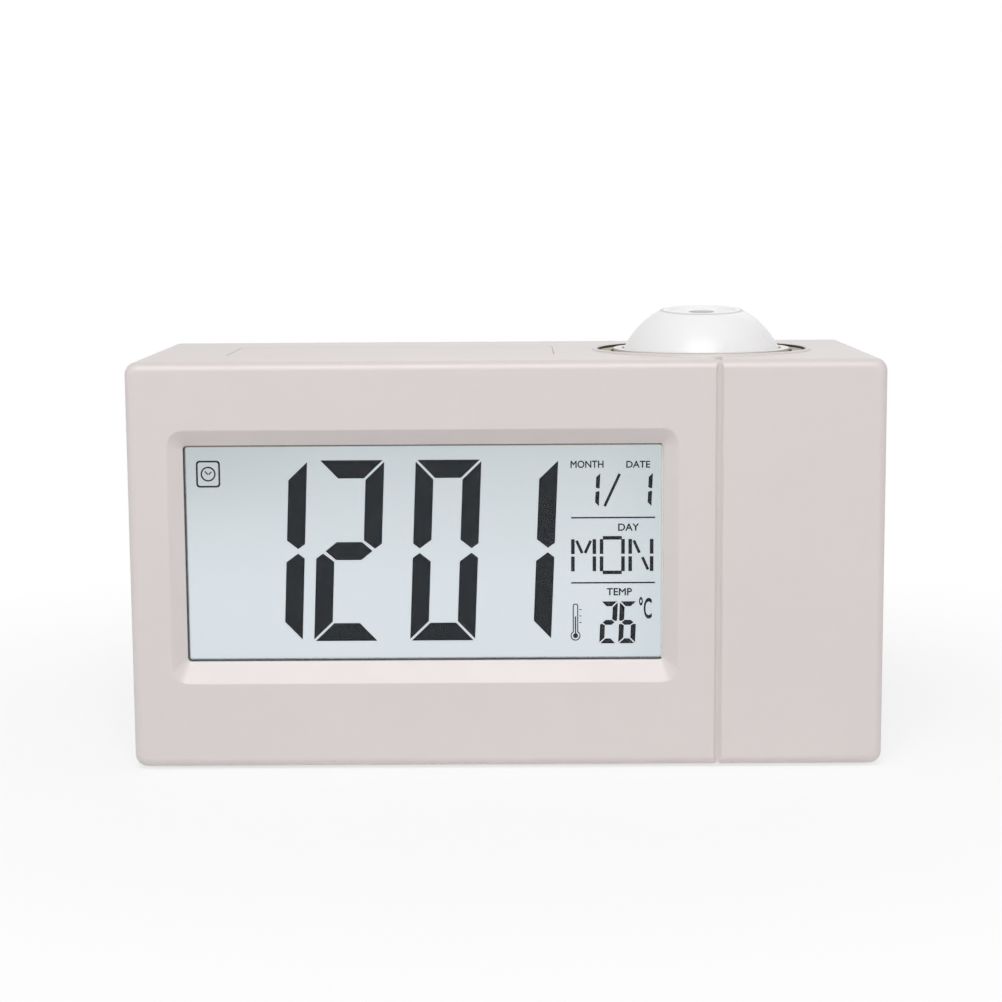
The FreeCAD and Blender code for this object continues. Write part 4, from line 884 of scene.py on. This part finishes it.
def dress(finishes: dict[str, Finish]) -> None:
    """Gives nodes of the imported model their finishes.

    Args:
        finishes: Finish of each node, by the node's name.
    """
    for name, finish in finishes.items():
        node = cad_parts[name]
        for slot in node.material_slots:
            slot.material = finish.material()
        log.info("dressed %s in %s", name, finish.name)


def ring_mesh(name: str, loops: Sequence[Sequence[Point]]) -> bpy.types.Mesh:
    """Joins closed loops of points into one closed ring, the last loop to the first.

    Args:
        name: The mesh's name.
        loops: The loops in order, all with the same number of points.

    Returns:
        The mesh.
    """
    form = bmesh.new()
    rows = [[form.verts.new(point) for point in loop] for loop in loops]
    for this, following in zip(rows, rows[1:] + rows[:1]):
        for i in range(len(this)):
            j = (i + 1) % len(this)
            form.faces.new((this[i], following[i], following[j], this[j]))
    bmesh.ops.recalc_face_normals(form, faces=form.faces)
    mesh = bpy.data.meshes.new(name)
    form.to_mesh(mesh)
    form.free()
    return mesh


@dataclass
class Lettering:
    """Generic word as a thin plate that fills a given rectangle.

    The rectangle is in metres in the row frame, level is the Y of the plate's hidden face, and
    boldness is a share of the type's size.
    """

    name: str
    words: str
    left: float
    right: float
    low: float
    high: float
    level: float
    side: Side
    thickness: float = 0.02 * MM
    boldness: float = 0.022

    def mesh(self) -> bpy.types.Mesh:
        """Turns the word into a mesh that fills its rectangle.

        Returns:
            The mesh.
        """
        curve = bpy.data.curves.new(self.name + "_outline", "FONT")
        curve.body = self.words
        curve.resolution_u = 6
        half = 0.5
        curve.extrude = half
        holder = bpy.data.objects.new(self.name + "_holder", curve)
        bpy.context.scene.collection.objects.link(holder)
        bpy.context.view_layer.update()
        plate = bpy.data.meshes.new_from_object(holder.evaluated_get(bpy.context.evaluated_depsgraph_get()))
        bpy.data.objects.remove(holder)
        plate.name = self.name
        self.embolden(plate)
        xs = [v.co.x for v in plate.vertices]
        ys = [v.co.y for v in plate.vertices]
        first_x, width, first_y, height = min(xs), max(xs) - min(xs), min(ys), max(ys) - min(ys)
        toward, reading = self.side.value
        start = self.left if reading > 0 else self.right
        for v in plate.vertices:
            along = (v.co.x - first_x) / width * (self.right - self.left)
            up = (v.co.y - first_y) / height * (self.high - self.low)
            out = (v.co.z + half) * self.thickness
            v.co = (start + reading * along, self.level + toward * out, self.low + up)
        return plate

    def embolden(self, plate: bpy.types.Mesh) -> None:
        """Thickens the strokes with copies of the word a little apart, as a second strike of ink.

        Args:
            plate: The word's mesh, at the type's own size.
        """
        form = bmesh.new()
        form.from_mesh(plate)
        first = list(form.verts) + list(form.edges) + list(form.faces)
        for aside, up in ((1, 0), (-1, 0), (0, 1), (0, -1)):
            copied = bmesh.ops.duplicate(form, geom=first)["geom"]
            moved = [part for part in copied if isinstance(part, bmesh.types.BMVert)]
            bmesh.ops.translate(form, verts=moved, vec=Vector((aside, up, 0.0)) * self.boldness)
        form.to_mesh(plate)
        form.free()

    def build(self, finish: Finish, body: str, slot: str) -> bpy.types.Object:
        """Adds the word to the clock."""
        return add_piece(self.name, self.mesh(), finish, body)


# Sub-assemblies


@dataclass
class Case:
    """Housing, back cover, screws and feet."""

    def dress(self) -> None:
        """Gives the case its finishes."""
        dress({"housing": CASE, "back_cover": CASE, "case_screws": SCREW_STEEL, "rubber_feet": FOOT_RUBBER})


@dataclass
class Display:
    """Window, liquid-crystal layers and the printed words between them."""

    left: float = -64.1 * MM
    right: float = 31.2 * MM
    low: float = 21.7 * MM
    high: float = 65.3 * MM
    word_level: float = -25.365 * MM

    def build(self) -> None:
        """Adds the small words of the side column."""
        # Each word's left, right, low and high, in millimetres
        words = (("month_word", "MONTH", (12.8, 19.4, 60.1, 61.6)),
                 ("date_word", "DATE", (23.9, 28.7, 60.1, 61.5)),
                 ("day_word", "DAY", (22.3, 26.5, 47.4, 48.9)),
                 ("temp_word", "TEMP", (20.0, 25.1, 34.3, 35.8)),
                 ("degree_word", "°C", (26.5, 29.1, 29.5, 34.0)))
        for name, text, sides in words:
            word = Lettering(name, text, *(side * MM for side in sides), self.word_level, Side.FRONT)
            word.build(SEGMENT_INK, "case", "segment_ink")

    def dress(self) -> None:
        """Gives the display's layers their finishes."""
        window = WindowPane("window_clear_pane", self.left, self.right, self.low, self.high)
        ground = DisplayGround("display_ground", self.left, self.right, self.low, self.high)
        dress({"window_lens": window, "lcd_front_polariser": POLARISER, "lcd_front_glass": FRONT_GLASS,
               "lcd_segments": SEGMENT_INK, "lcd_rear_glass": ground, "lcd_rear_polariser": DISPLAY_BACK,
               "light_guide": LIGHT_GUIDE, "reflector_sheet": REFLECTOR, "zebra_strip": CONTACT_RUBBER,
               "backlight_leds": LAMP_RESIN, "lcd_frame": FRAME, "frame_screws": SCREW_STEEL})


@dataclass
class ProjectorHead:
    """Ball, its optics and the lamp inside."""

    def dress(self) -> None:
        """Gives the head its finishes."""
        dress({"ball_upper_shell": BALL, "ball_lower_shell": BALL, "lens_barrel": BLACK,
               "projector_lens": LENS_GLASS, "projector_slide": SLIDE_GLASS, "condenser_lens": SLIDE_GLASS,
               "lamp_housing": BLACK, "projector_lamp": LAMP_RESIN, "lamp_board": BOARD,
               "lamp_board_screws": SCREW_STEEL, "lamp_leads": WIRE_COVER})


@dataclass
class ShadeRing:
    """Dark ring with a rounded crown, turned round the head's upright axis, that is painted shade in a gap of
    the recess.
    """

    name: str
    inner: float
    outer: float
    low: float
    crown: float
    steps: int = 160
    arch_steps: int = 8

    def outline(self) -> list[tuple[float, float]]:
        """Section of the ring: up its inner side, over the crown and down its outer side.

        Returns:
            Radius and height of each point.
        """
        middle, half = (self.inner + self.outer) / 2, (self.outer - self.inner) / 2
        shoulder = self.crown - half
        turns = [math.pi * i / self.arch_steps for i in range(self.arch_steps + 1)]
        arch = [(middle - half * math.cos(turn), shoulder + half * math.sin(turn)) for turn in turns]
        return [(self.inner, self.low), *arch, (self.outer, self.low)]

    def build(self, finish: Finish, body: str, slot: str) -> bpy.types.Object:
        """Adds the ring to the clock.

        Args:
            finish: Its finish.
            body: The body that it moves with.
            slot: Not used.

        Returns:
            The piece.
        """
        turns = [2 * math.pi * i / self.steps for i in range(self.steps)]
        loops = [[(HEAD_X + reach * math.cos(turn), HEAD_Y + reach * math.sin(turn), height)
                  for reach, height in self.outline()] for turn in turns]
        return add_piece(self.name, ring_mesh(self.name, loops), finish, body)


@dataclass
class GapStrip:
    """Thin upright lip that closes the gap round a plate with rounded corners."""

    name: str
    left: float
    right: float
    front: float
    back: float
    corner: float
    inner: float
    outer: float
    low: float
    high: float
    corner_steps: int = 10

    def loop(self, grow: float, height: float) -> list[Point]:
        """Rounded rectangle round the plate.

        Args:
            grow: How far it stands off the plate's edge.
            height: Its height.

        Returns:
            Its points in order.
        """
        radius = self.corner + grow
        centres = ((self.right, self.back, 1, 1), (self.left, self.back, -1, 1),
                   (self.left, self.front, -1, -1), (self.right, self.front, 1, -1))
        points = []
        for quarter, (x, y, side_x, side_y) in enumerate(centres):
            for i in range(self.corner_steps + 1):
                turn = (quarter + i / self.corner_steps) * math.pi / 2
                points.append((x - side_x * self.corner + radius * math.cos(turn),
                               y - side_y * self.corner + radius * math.sin(turn), height))
        return points

    def build(self, finish: Finish, body: str, slot: str) -> bpy.types.Object:
        """Adds the lip to the clock.

        Args:
            finish: Its finish.
            body: The body that it moves with.
            slot: Not used.

        Returns:
            The piece.
        """
        loops = [self.loop(self.inner, self.low), self.loop(self.inner, self.high),
                 self.loop(self.outer, self.high), self.loop(self.outer, self.low)]
        return add_piece(self.name, ring_mesh(self.name, loops), finish, body)


@dataclass
class HeadRecess:
    """Ring and cradle that hold the ball, with dark rings of painted shade in their gaps."""

    slot_inner: float = 18.34 * MM
    slot_outer: float = 18.86 * MM
    slot_low: float = 79.8 * MM
    slot_crown: float = 81.9 * MM
    ledge_inner: float = 21.28 * MM
    ledge_outer: float = 21.62 * MM
    ledge_low: float = 80.2 * MM
    ledge_crown: float = 82.3 * MM

    def build(self) -> None:
        """Adds two dark rings of painted shade: one in the slot round the collar, one round the ledge."""
        slot = ShadeRing("slot_shade_ring", self.slot_inner, self.slot_outer, self.slot_low, self.slot_crown)
        ledge = ShadeRing("ledge_shade_ring", self.ledge_inner, self.ledge_outer, self.ledge_low, self.ledge_crown)
        for shade_ring in (slot, ledge):
            shade_ring.build(RECESS_SHADE, "case", "black_plastic")

    def dress(self) -> None:
        """Gives the recess its finishes."""
        dress({"recess_ring": RING, "ball_cradle": BLACK, "cradle_screws": SCREW_STEEL,
               "pivot_washers": FELT, "projector_wires": WIRE_COVER})


@dataclass
class Controls:
    """Snooze bar, rear buttons, slide knob and their generic labels."""

    first_x: float = -53.5 * MM
    pitch: float = 13.0 * MM
    label_low: float = 62.7 * MM
    label_height: float = 1.25 * MM
    panel_floor: float = 28.9 * MM
    bar_left: float = -57.0 * MM
    bar_right: float = 9.8 * MM
    bar_front: float = -16.0 * MM
    bar_back: float = 14.0 * MM
    bar_corner: float = 4.0 * MM
    lip_inner: float = 0.03 * MM
    lip_outer: float = 0.14 * MM
    lip_low: float = 80.6 * MM
    lip_high: float = 81.94 * MM

    def build(self) -> None:
        """Adds the words over the rear buttons and the lip round the snooze bar."""
        # Each word's width, in millimetres
        words = (("mode_word", "MODE", 4.2), ("set_word", "SET", 2.9), ("up_word", "UP", 1.9),
                 ("down_word", "DOWN", 4.4), ("alarm_word", "ALARM", 5.0), ("light_word", "LIGHT", 4.4))
        for i, (name, text, width) in enumerate(words):
            middle = self.first_x + i * self.pitch
            half = width / 2 * MM
            word = Lettering(name, text, middle - half, middle + half, self.label_low,
                             self.label_low + self.label_height, self.panel_floor, Side.BACK)
            word.build(LABEL_INK, "case", "button_plastic")
        lip = GapStrip("snooze_lip", self.bar_left, self.bar_right, self.bar_front, self.bar_back,
                       self.bar_corner, self.lip_inner, self.lip_outer, self.lip_low, self.lip_high)
        lip.build(SNOOZE, "case", "case_plastic")

    def dress(self) -> None:
        """Gives the controls their finishes."""
        buttons = {name + "_button": BUTTON for name in ("mode", "set", "up", "down", "alarm", "light")}
        dress({"snooze_bar": SNOOZE, "projector_switch_knob": KNOB, "projector_switch_body": BLACK,
               "snooze_switch": BLACK, "key_switches": BLACK, **buttons})


@dataclass
class BatteryBay:
    """Door, cells and contacts."""

    left: float = -61.0 * MM
    right: float = -9.0 * MM

    def dress(self) -> None:
        """Gives the bay its finishes."""
        sleeve = CellSleeve("cell_sleeve_printed", tone(44, 70, 96), tone(206, 208, 204),
                            self.left, self.right)
        dress({"battery_door": CASE, "battery_cells": sleeve, "contact_plates": CONTACT_METAL,
               "contact_springs": CONTACT_METAL})


@dataclass
class Electronics:
    """Boards, their parts and the wiring."""

    def dress(self) -> None:
        """Gives the electronics their finishes."""
        dress({"main_board": BOARD, "board_screws": SCREW_STEEL, "driver_chip": CHIP_RESIN,
               "crystal": CAN_METAL, "capacitors": CAN_METAL, "wire_sockets": HEADER, "key_board": BOARD,
               "key_board_screws": SCREW_STEEL, "ribbon_cable": HEADER, "temperature_sensor": CHIP_RESIN,
               "buzzer": BLACK, "power_socket": BLACK, "power_wires": WIRE_COVER})


# Studio


@dataclass
class Lamp:
    """Soft square lamp that looks at the clock."""

    name: str
    place: Point
    size: float
    power: float
    target: Point = (0.0, 0.0, 0.05)

    def build(self) -> None:
        """Adds the lamp."""
        data = bpy.data.lights.new(self.name, "AREA")
        data.shape = "SQUARE"
        data.size = self.size
        data.energy = self.power
        lamp = bpy.data.objects.new(self.name, data)
        lamp.location = self.place
        run = Vector(self.target) - Vector(self.place)
        lamp.rotation_euler = run.to_track_quat("-Z", "Y").to_euler()
        bpy.context.scene.collection.objects.link(lamp)
        log.info("lit %s", self.name)


@dataclass
class Viewpoint:
    """The photograph's camera."""

    place: Point = (1.686 * MM, -454.27 * MM, 111.93 * MM)
    pitch: float = 0.13525
    yaw: float = -0.00646
    roll: float = -0.00644
    focal_pixels: float = 2167.39
    picture_width: int = 1002
    sensor: float = 36.0

    def build(self) -> None:
        """Adds the camera."""
        data = bpy.data.cameras.new("photo_camera")
        data.sensor_fit = "HORIZONTAL"
        data.sensor_width = self.sensor
        data.lens = self.focal_pixels / self.picture_width * self.sensor
        data.clip_start = 0.01
        camera = bpy.data.objects.new("photo_camera", data)
        forward = Vector((math.sin(self.yaw) * math.cos(self.pitch),
                          math.cos(self.yaw) * math.cos(self.pitch), -math.sin(self.pitch)))
        level = Vector((math.cos(self.yaw), -math.sin(self.yaw), 0.0))
        upright = level.cross(forward)
        right = level * math.cos(self.roll) + upright * math.sin(self.roll)
        up = upright * math.cos(self.roll) - level * math.sin(self.roll)
        turn = Matrix((right, up, -forward)).transposed().to_4x4()
        camera.matrix_world = Matrix.Translation(self.place) @ turn
        bpy.context.scene.collection.objects.link(camera)
        bpy.context.scene.camera = camera
        log.info("placed the camera")


@dataclass
class Studio:
    """Pale floor, soft lamps, plain surroundings and the camera."""

    floor_size: float = 6.0
    ambient: float = 0.26
    fade_start: float = 0.05
    fade_end: float = 0.25
    least_white: float = 0.7

    def build(self) -> None:
        """Adds everything round the clock."""
        self.floor()
        self.surroundings()
        for lamp in (Lamp("key_lamp", (-0.06, -0.75, 0.92), 0.7, 8.6),
                     Lamp("left_lamp", (-0.95, -0.35, 0.3), 0.7, 1.1),
                     Lamp("right_lamp", (0.95, -0.35, 0.3), 0.7, 1.3),
                     Lamp("back_lamp", (0.2, 0.9, 0.8), 0.8, 1.3)):
            lamp.build()
        Viewpoint().build()

    def floor(self) -> None:
        """Adds the floor, which fades to plain white away from the clock."""
        mesh = bpy.data.meshes.new("studio_floor")
        form = bmesh.new()
        bmesh.ops.create_grid(form, x_segments=24, y_segments=24, size=self.floor_size / 2)
        form.to_mesh(mesh)
        form.free()
        floor = bpy.data.objects.new("studio_floor", mesh)
        bpy.context.scene.collection.objects.link(floor)
        material = bpy.data.materials.new("floor_paper")
        material.use_nodes = True
        sheet = Sheet(material.node_tree)
        place = sheet.place()
        pulp = sheet.noise(place, 700.0, 3.0)
        paper = sheet.surface(Base_Color=sheet.blend(tone(246, 246, 246), tone(250, 250, 250), pulp),
                              Roughness=0.7 + pulp * 0.1, Specular=0.15,
                              Normal=sheet.relief(pulp, 0.00001))
        white = sheet.add("ShaderNodeEmission", inputs={"Color": (1.0, 1.0, 1.0), "Strength": 1.0})
        distance = sheet.add("ShaderNodeVectorMath", {"operation": "LENGTH"}, {0: place}, "Value")
        seen = self.seen(sheet)
        fade = distance.ease(self.fade_start, self.fade_end) * (1.0 - self.least_white) + self.least_white
        mixed = sheet.add("ShaderNodeMixShader", inputs={0: fade * seen, 1: paper, 2: white})
        sheet.finish(mixed)
        mesh.materials.append(material)

    @staticmethod
    def seen(sheet: Sheet) -> Signal:
        """Tells rays that show the surroundings: straight, reflected and through glass.

        Args:
            sheet: The material's or the world's node sheet.

        Returns:
            1 for these rays, 0 for others.
        """
        rays = sheet.add("ShaderNodeLightPath", output="Is Camera Ray")
        outputs = rays.socket.node.outputs
        glossy = Signal(sheet, outputs["Is Glossy Ray"])
        through = Signal(sheet, outputs["Is Transmission Ray"])
        return rays.at_least(glossy).at_least(through)

    def surroundings(self) -> None:
        """Gives the world an even light and a white look."""
        world = bpy.data.worlds.new("studio_air")
        bpy.context.scene.world = world
        world.use_nodes = True
        sheet = Sheet(world.node_tree)
        strength = self.seen(sheet) * (1.0 - self.ambient) + self.ambient
        air = sheet.add("ShaderNodeBackground", inputs={"Color": (1.0, 1.0, 1.0), "Strength": strength})
        sheet.add("ShaderNodeOutputWorld", inputs={"Surface": air})


def main() -> None:
    """Builds and dresses the clock in order, then its studio."""
    logging.basicConfig(level=logging.INFO, format="%(name)s: %(message)s")
    bpy.context.scene.view_settings.view_transform = "Standard"
    Studio().build()
    display, recess, controls = Display(), HeadRecess(), Controls()
    for assembly in (display, recess, controls):
        assembly.build()
    for assembly in (Case(), display, ProjectorHead(), recess, controls, BatteryBay(), Electronics()):
        assembly.dress()


if __name__ == "__main__":
    main()
